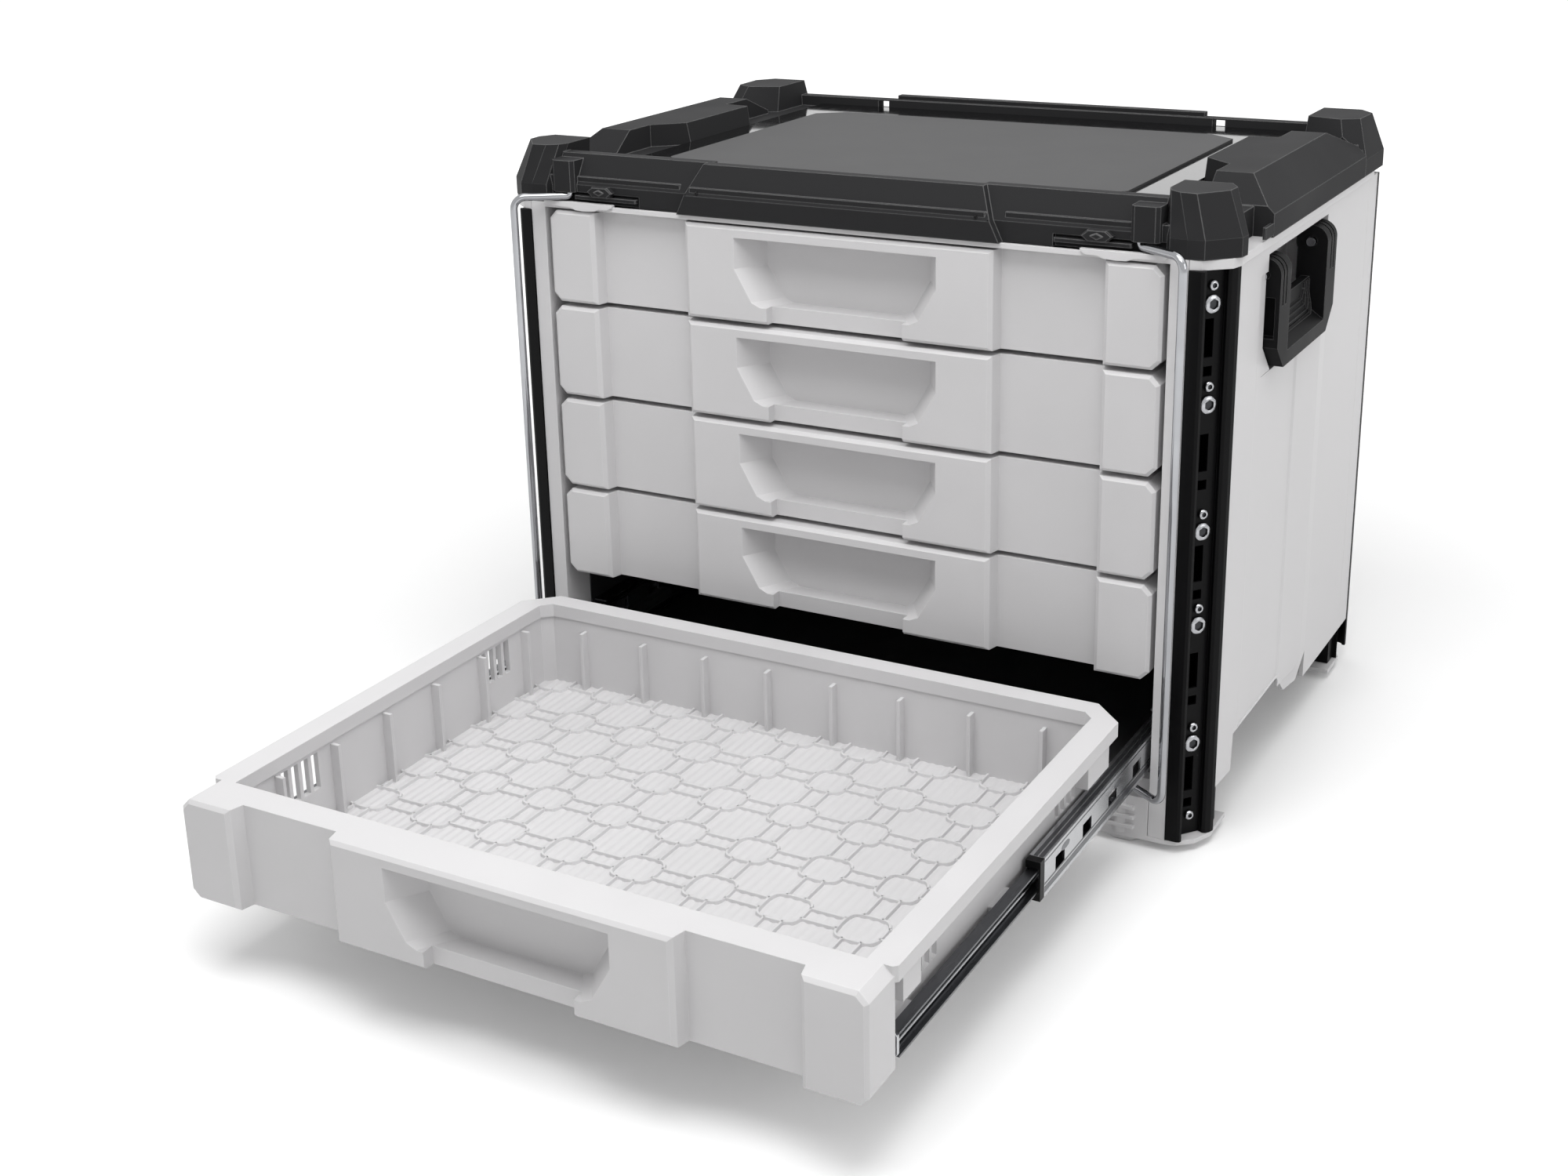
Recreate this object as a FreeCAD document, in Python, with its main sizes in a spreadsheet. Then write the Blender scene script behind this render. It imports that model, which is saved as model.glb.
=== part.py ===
"""Socket organizer drawer box: a carry case with five drawers on telescopic slides.

Frame: +X right, +Y back, +Z up, origin in the middle of the underside of the base plate.
The drawer fronts, when shut, stand in the plane y = -case_depth / 2 and face -Y.
Rest position: the lowest drawer is fully out and the bails are swung clear of the fronts.
"""
import FreeCAD
import Part
import math
import os

import Sketcher

os.makedirs("parts", exist_ok=True)
doc = FreeCAD.newDocument("drawer_box")

# ---------------------------------------------------------------------------
# Driving sizes, in millimetres (angles in degrees)
# ---------------------------------------------------------------------------
SIZES = {
    # case
    "case_depth": (306, "front plane of the drawers to the rear face of the case"),
    "panel_span": (433.8, "over the outer faces of the two side panels"),
    "panel_wall": (2.5, "wall of a side panel"),
    "leg_height": (29, "ground to the underside of the base plate"),
    "floor_plate": (1.5, "thickness of the inner floor plate"),
    "base_plate": (8, "thickness of the base under the floor plate"),
    "base_setback": (9.5, "front edge of the base behind the drawer fronts"),
    "collar_height": (5, "thickness of the ring under the lid"),
    "seat_gap": (0.3, "clearance where one piece stands beside or on another"),
    # bezel
    "case_side": (28.75, "outer face of a side panel to the drawer opening"),
    "bezel_width": (9.45, "face width of the bezel's uprights"),
    "bezel_wall": (2, "wall of the bezel"),
    "bezel_depth": (25, "how deep the bezel's inner return goes"),
    "bezel_head": (2.8, "face height of the bezel above the top drawer"),
    # drawers
    "front_play": (2.85, "gap between a drawer's front and the side of the opening"),
    "front_height": (53.8, "height of a drawer front"),
    "front_gap": (2.8, "gap between two fronts"),
    "first_front": (41.6, "ground to the bottom of the lowest front"),
    "front_depth": (24.6, "thickness of a drawer front"),
    "front_bevel": (1.8, "bevel round the face of a front"),
    "front_corner": (4.8, "corner cut of a front"),
    "block_span": (185.9, "width of the raised middle of a front"),
    "pad_width": (30.5, "width of the raised pad at each end of a front"),
    "face_recess": (8.75, "depth of the channels between the middle and the pads"),
    "face_draft": (2.1, "sideways slope of the channel walls"),
    "pull_span": (123, "width of the finger pocket's mouth"),
    "pull_base_span": (91, "width of the finger pocket's floor at its mouth"),
    "pull_drop": (6.2, "top of the finger pocket below the front's top"),
    "pull_floor": (9.5, "floor of the finger pocket above the front's bottom"),
    "pull_shoulder": (30, "height where the pocket's sides start to close in"),
    "pull_depth": (18, "depth of the finger pocket"),
    "pull_draft": (11.5, "how far the pocket's sides close in over its depth"),
    "lip_span": (83, "width of the recessed lip under the finger pocket"),
    "lip_recess": (6.7, "how far the lip is set back"),
    "tray_back": (10, "back of a drawer's rim to the rear face of the case"),
    "tray_play": (11.65, "side of the opening to a drawer's side wall"),
    "tray_wall": (3, "wall of a drawer"),
    "tray_floor": (3.9, "thickness of a drawer's floor"),
    "rim_overhang": (10.2, "how far a drawer's rim stands out over its side wall"),
    "rim_height": (7.8, "height of a drawer's rim"),
    "rim_corner": (17, "corner cut at the back of the rim"),
    "rim_inside": (1, "how far the rim stands in over the walls"),
    "rear_rim": (12.5, "width of the rim at the back"),
    "mouth_corner": (5.5, "corner cut of a drawer's mouth"),
    "pad_pitch": (105, "pitch of the slide pads"),
    "boss_stand": (2.9, "how far the slide pads stand out of a drawer's side"),
    "cell_pitch": (41.4, "pitch of the divider ribs"),
    "rib_thickness": (2, "thickness of a divider rib"),
    "rib_reach": (5.5, "how far a divider rib stands into the drawer"),
    "rib_drop": (9.3, "top of a side rib below the front's top"),
    "rear_rib_drop": (13.8, "top of a rear rib below the front's top"),
    "first_rib": (52.6, "front face to the first side rib"),
    "window_sill": (24, "sill of a drawer's side windows"),
    "window_drop": (9.8, "head of a drawer's side windows below the front's top"),
    "window_slot": (5, "width of one window slot"),
    "window_pitch": (7.4, "pitch of the window slots"),
    "front_window": (56.2, "front face to the first slot of the front window"),
    "rear_window": (219.8, "front face to the first slot of the rear window"),
    # slides
    "rail_gauge": (1, "sheet thickness of the slides"),
    "rail_play": (0.4, "clearance between two members of a slide"),
    "rail_axis": (13.5, "middle of a slide above the front's bottom"),
    "outer_rail_height": (29, "height of the fixed member"),
    "middle_rail_height": (21, "height of the middle member"),
    "inner_rail_height": (12, "height of the drawer's member"),
    "slide_back": (6.5, "back end of the fixed member to the rear face of the case"),
    "middle_short": (14, "how much shorter the middle member is than the fixed one"),
    "inner_short": (22, "how much shorter the drawer's member is than the fixed one"),
    "rail_edge": (1.7, "drawer's side to the open edge of the fixed member"),
    "rail_setback": (27.5, "front end of the fixed member behind the front face"),
    "stop_length": (5, "length of the plastic stop on the middle member"),
    "travel": (327, "how far a drawer comes out"),
    # corner posts
    "post_reach": (23.8, "how far back a post's sloping face goes"),
    "post_return": (11, "how far a post goes on behind the edge of the panel"),
    "post_foot": (7.5, "ground to the bottom of a post"),
    "post_channel": (15, "width of the channel down a post's face"),
    "post_channel_depth": (1.2, "depth of the channel"),
    "post_channel_start": (6.5, "edge of a post's face to its channel"),
    "post_wall": (3, "wall of a post"),
    "post_bead": (1.6, "depth of the groove beside a post's outer bead"),
    "slot_last": (26.3, "top of the highest slot to the top of a post"),
    "slot_length": (20, "length of a slot"),
    "slot_width": (5, "width of a slot"),
    "slot_first": (33.5, "ground to the bottom of the lowest slot"),
    "peg_hole": (5.2, "side of a square hole"),
    "peg_drop": (9.8, "bottom of a slot down to the bottom of its square hole"),
    # post screws
    "small_head": (5.6, "head diameter of a small screw"),
    "large_head": (9.8, "head diameter of a large screw"),
    "head_height": (1.6, "height of a screw head"),
    "screw_first": (18.8, "ground to the lowest small screw"),
    "screw_pair": (52.2, "spacing of the two small screws of a group"),
    "screw_last": (9.2, "highest small screw to the top of a post"),
    "screw_drop": (9.5, "small screw down to the large one below it"),
    # lid
    "lid_height": (15.5, "height of the lid's slab"),
    "lid_crease": (11, "lid's bottom to the crease of its front"),
    "lid_front_top": (27.5, "lid's bottom to the top of its front wall"),
    "lid_front_slope": (9.5, "how far the front wall leans back"),
    "lid_lip": (1, "how far the lid stands in front of the drawer fronts"),
    "lid_nose": (181.5, "width of the lid's forward middle"),
    "lid_nose_slant": (13, "how far the edge of that middle slants over its height"),
    "lid_shoulder": (5, "how far the lid steps back beside its middle"),
    "lid_wall": (7, "thickness of the lid's front wall at its top"),
    "lid_rear_top": (22.5, "lid's bottom to the top of its rear wall"),
    "lid_rear_raise": (3, "how much higher the rear wall's middle stands"),
    "lid_rear_span": (214, "width of the rear wall's raised middle"),
    "lid_rear_wall": (8, "thickness of the rear wall"),
    "bump_height": (32, "lid's bottom to the top of a corner block"),
    "bump_crease": (10, "lid's bottom to the crease of a corner block"),
    "lid_overhang": (3.1, "how far the lid stands out over a side panel"),
    "rail_lift": (29.3, "lid's bottom to the top of a side rail"),
    "rail_band": (12.3, "lid's bottom to the crease of a side rail"),
    "rail_slope": (17, "how far a side rail leans in above its crease"),
    "rail_top_width": (37, "width of a side rail's top"),
    "rail_front": (68, "front plane of the drawers to a side rail's front"),
    "rail_back": (80, "a side rail's back to the rear face of the case"),
    "panel_thickness": (2, "thickness of the glossy top panel"),
    "mat_thickness": (1.5, "thickness of the top mat"),
    "mat_margin": (21.7, "side of the top panel to the side of the mat"),
    "mat_front": (49, "front plane of the drawers to the mat's front edge"),
    "mat_back": (47, "the mat's back edge to the rear face of the case"),
    "mat_corner": (17, "corner cut of the mat"),
    # bails
    "wire": (4.4, "diameter of the bail's wire"),
    "bail_reach": (33, "pivot to the bail's upright"),
    "bail_bend": (7, "bend radius at the middle of the wire"),
    "bail_inset": (45.3, "outer face of a side panel to a bail's pivot"),
    "bail_pivot_setback": (4, "bail pivot behind the drawer fronts"),
    "bail_rise": (4.2, "lid's bottom to the bail's upper arm"),
    "bail_bottom": (36, "ground to the bail's lower arm"),
    "socket_wall": (2.4, "wall of a bail's socket"),
    "bail_pin": (9, "length of the wire's pin into its socket"),
    "bail_swing": (32, "how far the bails stand outward of the case's face at rest"),
    "pin_play": (0.3, "clearance round a pin"),
    # side handles
    "handle_span": (110, "length of a side handle"),
    "handle_height": (61, "height of a side handle"),
    "handle_stand": (6.3, "how far a handle stands out of its panel"),
    "handle_thickness": (17, "thickness of a handle"),
    "handle_arm": (19, "width of a handle's arm"),
    "handle_grip": (32, "height of a handle's grip"),
    "handle_front": (76, "front plane of the drawers to a handle's front"),
    "handle_drop": (21.5, "lid's bottom to the axis of a handle's pins"),
    "handle_pin": (5, "diameter of a handle's pins"),
    "handle_knuckle": (9, "radius of a handle's round top"),
    "pocket_margin": (2.5, "room round a handle in its pocket"),
    "pocket_depth": (22.5, "depth of a handle's pocket"),
    "arm_pocket": (6, "depth of the pocket in the face of a handle's arm"),
    "arm_rim": (2.6, "rim round the pocket of a handle's arm"),
    "grip_scoop": (9.5, "depth of the scoop in the outside of a handle's grip"),
    "grip_scoop_edge": (8, "unscooped edge at the bottom of a handle's grip"),
    "finger_scoop": (3, "depth of the scoop in the inside of a handle's grip"),
    "handle_corner": (13, "corner cut at the bottom of a handle"),
    # side panels
    "skirt_height": (51.6, "ground to a side panel's lower edge between its legs"),
    "skirt_front": (32.2, "ground to the lower edge at the front of a side panel"),
    "skirt_front_end": (52, "front plane of the drawers to the end of that lower edge"),
    "field_depth": (1, "depth of the shallow field in a side panel"),
    "field_front": (61, "front plane of the drawers to the shallow field"),
    "field_slope": (4, "width of the field's sloping front edge"),
    "rib_front": (140, "front plane of the drawers to the front of the side panel's rib"),
    "rib_crest": (180, "front plane of the drawers to the rib's crest"),
    "rib_back": (198, "front plane of the drawers to the back of the rib"),
    "rib_stand": (2, "how far the rib's crest stands out"),
    "rib_foot": (33, "ground to the bottom of the rib"),
    # feet
    "foot_height": (4.5, "ground to the underside of the base's corner plates"),
    "corner_plate": (2.7, "thickness of the base's corner plates"),
    "leg_width": (29.85, "width of a leg, inward from the inner wall"),
    "leg_depth": (45, "depth of a leg"),
    "sole_inset": (5, "leg's inner face to the foot's sole"),
    "sole_width": (19, "width of the foot's sole"),
    "sole_length": (28, "length of the foot's sole"),
    "sole_corner": (5, "corner cut of the foot's sole"),
    "foot_flare": (4, "how far the foot spreads toward its root"),
}

sheet = doc.addObject("Spreadsheet::Sheet", "Sizes")
for row, (alias, (number, meaning)) in enumerate(SIZES.items(), start=1):
    sheet.set(f"A{row}", str(number))
    sheet.setAlias(f"A{row}", alias)
    sheet.set(f"B{row}", meaning)
doc.recompute()


class Size:
    """A number together with the sheet expression that it comes from."""

    def __init__(self, value, text):
        self.value = float(value)
        self.text = text

    def __add__(self, other):
        other = as_size(other)
        return Size(self.value + other.value, f"({self.text} + {other.text})")

    def __sub__(self, other):
        other = as_size(other)
        return Size(self.value - other.value, f"({self.text} - {other.text})")

    def __mul__(self, other):
        other = as_size(other)
        return Size(self.value * other.value, f"({self.text} * {other.text})")

    def __truediv__(self, other):
        other = as_size(other)
        return Size(self.value / other.value, f"({self.text} / {other.text})")

    def __neg__(self):
        return Size(-self.value, f"(0 - {self.text})")

    def __radd__(self, other):
        return as_size(other) + self

    def __rsub__(self, other):
        return as_size(other) - self

    def __rmul__(self, other):
        return as_size(other) * self


def as_size(number):
    """Turn a plain number into a Size, and leave a Size as it is."""
    return number if isinstance(number, Size) else Size(number, repr(float(number)))


def s(alias):
    """The sheet's value of that name."""
    return Size(sheet.get(alias), f"Sizes.{alias}")


def arc_tangent(rise, run):
    """The angle of a slope, in degrees."""
    rise, run = as_size(rise), as_size(run)
    angle = math.degrees(math.atan2(rise.value, run.value))
    return Size(angle, f"atan2({rise.text}; {run.text})")


def bind(obj, prop, size):
    """Tie a property to the sheet."""
    obj.setExpression(prop, as_size(size).text)


def own(body, role):
    """One of a body's own origin planes or axes."""
    return next(f for f in body.Origin.OriginFeatures if f.Role == role)


def new_body(label, at=(0, 0, 0), compound=False):
    """A body with its own label, placed by the sheet."""
    body = doc.addObject("PartDesign::Body", label)
    body.Label = label
    body.AllowCompound = compound
    place(body, at)
    return body


def place(obj, at, turn=None):
    """Put an object at a point, turned about Z by an angle."""
    for axis, size in zip("xyz", at):
        bind(obj, f".Placement.Base.{axis}", size)
    if turn is not None:
        obj.Placement = FreeCAD.Placement(obj.Placement.Base, FreeCAD.Rotation(FreeCAD.Vector(0, 0, 1), 0))
        bind(obj, ".Placement.Rotation.Angle", turn)


PLANES = {"x": "YZ_Plane", "y": "XZ_Plane", "z": "XY_Plane"}


def sketch_on(body, name, axis, station, origin=(0, 0), turn=None):
    """A sketch square to an axis. Its own normal is +X, -Y or +Z; station is along the axis."""
    sketch = body.newObject("Sketcher::SketchObject", name)
    sketch.AttachmentSupport = [(own(body, PLANES[axis]), "")]
    sketch.MapMode = "FlatFace"
    offset = -as_size(station) if axis == "y" else as_size(station)
    if turn is not None:
        upright = FreeCAD.Vector(0, 1, 0)
        sketch.AttachmentOffset = FreeCAD.Placement(FreeCAD.Vector(), FreeCAD.Rotation(upright, 1))
    bind(sketch, ".AttachmentOffset.Base.x", origin[0])
    bind(sketch, ".AttachmentOffset.Base.y", origin[1])
    bind(sketch, ".AttachmentOffset.Base.z", offset)
    if turn is not None:
        bind(sketch, ".AttachmentOffset.Rotation.Angle", turn)
    return sketch


def pin_point(sketch, index, end, point):
    """Fix one end of a sketch edge from the sketch's origin."""
    for kind, size in zip(("DistanceX", "DistanceY"), point):
        size = as_size(size)
        number = sketch.addConstraint(Sketcher.Constraint(kind, -1, 1, index, end, size.value))
        bind(sketch, f"Constraints[{number}]", size)


def draw_polygon(sketch, points):
    """A closed outline through the given corners."""
    points = [(as_size(u), as_size(v)) for u, v in points]
    first = sketch.GeometryCount
    count = len(points)
    for index, (u, v) in enumerate(points):
        far_u, far_v = points[(index + 1) % count]
        start = FreeCAD.Vector(u.value, v.value, 0)
        end = FreeCAD.Vector(far_u.value, far_v.value, 0)
        sketch.addGeometry(Part.LineSegment(start, end), False)
    for index, point in enumerate(points):
        after = first + (index + 1) % count
        sketch.addConstraint(Sketcher.Constraint("Coincident", first + index, 2, after, 1))
        pin_point(sketch, first + index, 1, point)


def draw_circle(sketch, centre, diameter):
    """A circle about a point."""
    u, v = (as_size(c) for c in centre)
    radius = as_size(diameter) / 2
    middle = FreeCAD.Vector(u.value, v.value, 0)
    index = sketch.addGeometry(Part.Circle(middle, FreeCAD.Vector(0, 0, 1), radius.value), False)
    pin_point(sketch, index, 3, centre)
    number = sketch.addConstraint(Sketcher.Constraint("Radius", index, radius.value))
    bind(sketch, f"Constraints[{number}]", radius)


def box(u0, v0, u1, v1):
    """The four corners of a rectangle."""
    return [(u0, v0), (u1, v0), (u1, v1), (u0, v1)]


def cut_box(u0, v0, u1, v1, cut):
    """The outline of a rectangle whose corners are cut off."""
    return [(u0 + cut, v0), (u1 - cut, v0), (u1, v0 + cut), (u1, v1 - cut),
            (u1 - cut, v1), (u0 + cut, v1), (u0, v1 - cut), (u0, v0 + cut)]


def block(body, name, axis, low, high, *outlines, cut=False, origin=(0, 0), turn=None):
    """Outlines square to an axis, padded from low to high, or cut away between them."""
    station = {("x", True): high, ("y", False): high, ("z", True): high}.get((axis, cut), low)
    sketch = sketch_on(body, f"{name}_outline", axis, station, origin, turn)
    for outline in outlines:
        if len(outline) == 2:
            draw_circle(sketch, *outline)
        else:
            draw_polygon(sketch, outline)
    feature = body.newObject("PartDesign::Pocket" if cut else "PartDesign::Pad", name)
    feature.Profile = sketch
    length = as_size(high) - as_size(low)
    feature.Length = length.value
    bind(feature, "Length", length)
    return feature


def loft(body, name, near, far, cut=False):
    """A ruled loft between two sketches with as many corners each."""
    kind = "PartDesign::SubtractiveLoft" if cut else "PartDesign::AdditiveLoft"
    feature = body.newObject(kind, name)
    feature.Profile = near
    feature.Sections = [far]
    feature.Ruled = True
    return feature


def dress(body, kind, name, size, keep):
    """A chamfer or fillet on the edges of the body's last feature that keep(edge) picks."""
    doc.recompute()
    base = body.Tip
    names = [f"Edge{i}" for i, edge in enumerate(base.Shape.Edges, start=1) if keep(edge)]
    feature = body.newObject(f"PartDesign::{kind}", name)
    feature.Base = (base, names)
    prop = "Size" if kind == "Chamfer" else "Radius"
    setattr(feature, prop, as_size(size).value)
    bind(feature, prop, size)
    return feature


def pattern(body, name, originals, axis, pitch, count):
    """Copies of features at a pitch along one of the body's axes."""
    feature = body.newObject("PartDesign::LinearPattern", name)
    feature.Originals = originals
    feature.Direction = (own(body, f"{axis.upper()}_Axis"), [""])
    feature.Occurrences = count
    span = as_size(pitch) * (count - 1)
    feature.Length = span.value
    bind(feature, "Length", span)
    body.Tip = feature
    return feature


def mirror(body, name, originals=None, plane="YZ_Plane"):
    """The given features, or the whole body, again on the other side of a plane."""
    feature = body.newObject("PartDesign::Mirrored", name)
    if originals is None:
        feature.TransformMode = "Whole shape"
    else:
        feature.Originals = originals
    feature.MirrorPlane = (own(body, plane), [""])
    body.Tip = feature
    return feature


def derived(label, source, at=(0, 0, 0), compound=False):
    """A second piece of the same make, in a place of its own."""
    body = new_body(label, at, compound)
    body.BaseFeature = source
    return body


pieces = []


def piece(body):
    """Note a finished sub-part for export."""
    pieces.append(body)
    return body


# ---------------------------------------------------------------------------
# Places that several pieces share
# ---------------------------------------------------------------------------
DRAWERS = 5
front = -s("case_depth") / 2
rear = s("case_depth") / 2
pitch = s("front_height") + s("front_gap")
ground = -s("leg_height")
top_front = ground + s("first_front") + pitch * (DRAWERS - 1) + s("front_height")
panel_face = s("panel_span") / 2
opening_half = panel_face - s("case_side")
bezel_half = opening_half + s("bezel_width")
front_half = opening_half - s("front_play")
tray_half = opening_half - s("tray_play")
rim_half = tray_half + s("rim_overhang")
lid_half = panel_face + s("lid_overhang")
head_bottom = top_front + s("front_gap") / 2
lid_bottom = head_bottom + s("bezel_head")
collar_bottom = lid_bottom - s("collar_height")
base_top = s("base_plate")
liner_face = opening_half - s("seat_gap")
liner_back = liner_face + s("bezel_wall")
post_inner = bezel_half + s("seat_gap")
post_front = front + 1.1
post_edge = post_front + s("post_reach")
post_back = post_edge + s("post_return")
plate_bottom = ground + s("foot_height")
plate_top = plate_bottom + s("corner_plate")
post_bottom = ground + s("post_foot")
leg_inner = liner_face - s("leg_width")
leg_top = as_size(0.5)
outer_rail_length = s("case_depth") - s("rail_setback") - s("slide_back")


def drawer_height(number):
    """Height of the bottom of a drawer's front; the drawers count from the top."""
    return ground + s("first_front") + pitch * (DRAWERS - number)


def drawer_place(number):
    """Where a drawer's own origin stands at rest: the lowest drawer is pulled out."""
    out = s("travel") if number == DRAWERS else as_size(0)
    return (0, front - out, drawer_height(number))


# ---------------------------------------------------------------------------
# Base: plate, four legs with corner plates, feet and bail sockets
# ---------------------------------------------------------------------------
def make_base():
    """The light gray base that everything stands on: its right half, then both halves."""
    body = new_body("base")
    inner = leg_inner
    leg_front = front + 0.6
    leg_rear = leg_front + s("leg_depth")
    block(body, "slab", "z", 0, base_top,
          box(0, front + s("base_setback"), liner_face, rear - s("panel_wall") - s("seat_gap")))
    leg = block(body, "leg", "z", plate_top - 0.5, leg_top,
                [(inner, leg_front + 3), (inner + 3, leg_front), (liner_face, leg_front),
                 (liner_face, leg_rear), (inner, leg_rear)])
    plate = block(body, "corner_plate", "z", plate_bottom, plate_top,
                  [(inner, leg_front), (bezel_half, leg_front), (bezel_half + 6, leg_front + 1.5),
                   (panel_face - 5, front + 9), (panel_face, front + 21),
                   (panel_face, leg_rear), (inner, leg_rear)])
    sole = sketch_on(body, "foot_sole", "z", ground)
    left, fore = inner + s("sole_inset"), front + 4
    right, aft = left + s("sole_width"), fore + s("sole_length")
    flare = s("foot_flare")
    draw_polygon(sole, cut_box(left, fore, right, aft, s("sole_corner")))
    root = sketch_on(body, "foot_root", "z", plate_bottom)
    draw_polygon(root, cut_box(left - flare, leg_front, right + flare, aft + flare, s("sole_corner")))
    foot = loft(body, "foot", sole, root)
    mirror(body, "rear_leg", [leg, plate, foot], "XZ_Plane")
    boss = s("wire") + s("pin_play") * 2 + s("socket_wall") * 2
    block(body, "bail_boss", "z", plate_top - 0.5, socket_top, (bail_pivot, boss))
    block(body, "bail_socket", "z", socket_top - s("bail_pin"), socket_top,
          (bail_pivot, s("wire") + s("pin_play") * 2), cut=True)
    mirror(body, "left_half")
    return piece(body)


def make_floor_plate():
    """The black plate inside, on top of the base."""
    body = new_body("floor_plate")
    half = liner_face - s("seat_gap")
    block(body, "plate", "z", base_top, base_top + s("floor_plate"),
          box(-half, front + 17, half, rear - s("panel_wall") - s("seat_gap")))
    return piece(body)


# ---------------------------------------------------------------------------
# Walls of the case
# ---------------------------------------------------------------------------
def make_bezel():
    """The light gray frame round the drawers, with a return into the case."""
    body = new_body("front_bezel")
    face = front + 1
    back = front + s("bezel_depth")
    block(body, "frame", "y", face, face + s("bezel_wall"),
          [(0, head_bottom), (opening_half, head_bottom), (opening_half, plate_top),
           (bezel_half, plate_top), (bezel_half, lid_bottom), (0, lid_bottom)])
    inside = opening_half + s("bezel_wall")
    block(body, "return", "y", face, back,
          box(opening_half, plate_top, inside, lid_bottom))
    mirror(body, "left_half")
    return piece(body)


def make_liner():
    """The black inner side wall that carries the slides."""
    body = new_body("inner_wall_right")
    block(body, "wall", "x", liner_face, liner_back,
          box(front + s("bezel_depth") + s("seat_gap"), 1,
              rear - s("panel_wall") - s("seat_gap"), collar_bottom))
    return piece(body)


def make_rear_panel():
    """The back of the case."""
    body = new_body("rear_panel")
    notch = leg_inner - s("seat_gap")
    over_leg = leg_top + s("seat_gap")
    block(body, "panel", "y", rear - s("panel_wall"), rear,
          [(-notch, plate_top), (notch, plate_top), (notch, over_leg), (bezel_half, over_leg),
           (bezel_half, collar_bottom), (-bezel_half, collar_bottom), (-bezel_half, over_leg),
           (-notch, over_leg)])
    flute_start = 37.6 - bezel_half
    flute = block(body, "flute", "y", rear - 1, rear,
                  box(flute_start, plate_top + 40, flute_start + 24, collar_bottom - 16), cut=True)
    pattern(body, "flutes", [flute], "x", (flute_start * -2 - 24) / 5, 6)
    return piece(body)


def make_side_panel():
    """The right side panel: banded wall, handle pocket and cut-up lower edge."""
    body = new_body("side_panel_right")
    inside = panel_face - s("panel_wall")
    fore = post_edge + s("seat_gap")
    aft = -fore
    skirt = ground + s("skirt_height")
    low = ground + s("skirt_front")
    low_end = front + s("skirt_front_end")
    rib_front, rib_crest, rib_back = (front + s(name) for name in ("rib_front", "rib_crest", "rib_back"))
    foot = ground + s("rib_foot")
    block(body, "wall", "x", inside, panel_face,
          [(fore, low), (low_end, low - 2), (low_end + 2, skirt), (rib_front - 3, skirt),
           (rib_front + 14, foot + 4), (rib_crest, foot), (rib_back, foot + 12), (rib_back, -1),
           (aft, -1), (aft, collar_bottom), (fore, collar_bottom)])
    field = panel_face - s("field_depth")
    field_front = front + s("field_front")
    beyond = panel_face + 1
    block(body, "shallow_field", "z", skirt + 0.5, collar_bottom - 14,
          [(panel_face, field_front), (field, field_front + s("field_slope")), (field, rib_front - 2),
           (panel_face, rib_front), (beyond, rib_front), (beyond, field_front)], cut=True)
    block(body, "rib", "z", foot + 12, collar_bottom - 14,
          [(inside + 1, rib_front), (panel_face, rib_front), (panel_face + s("rib_stand"), rib_crest),
           (panel_face, rib_back), (inside + 1, rib_back)])
    wall = s("bezel_wall")
    back = panel_face - s("pocket_depth")
    block(body, "tub", "x", back - wall, field - 0.4,
          box(pocket_front - wall, pocket_floor - wall, pocket_rear + wall, pocket_top + wall))
    block(body, "pocket", "x", back, beyond + s("rib_stand"),
          box(pocket_front, pocket_floor, pocket_rear, pocket_top), cut=True)
    block(body, "pin_holes", "y", pocket_front - wall, pocket_rear + wall,
          ((handle_axis, handle_level), s("handle_pin")), cut=True)
    return piece(body)


def make_collar():
    """The light gray ring between the walls and the lid."""
    body = new_body("top_collar")
    edge = panel_face + 1.5
    inner = liner_face
    behind = front + s("bezel_depth") + s("seat_gap")
    block(body, "ring", "z", collar_bottom, lid_bottom,
          [(post_inner, front + 1.1), (post_inner + 6, front + 2.5), (edge - 2, front + 13),
           (edge, front + 21), (edge, rear - 21), (edge - 2, rear - 13), (post_inner + 6, rear - 2),
           (0, rear - 2), (0, rear - 8), (inner, rear - 8), (inner, behind), (post_inner, behind)])
    mirror(body, "left_half")
    return piece(body)


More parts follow.
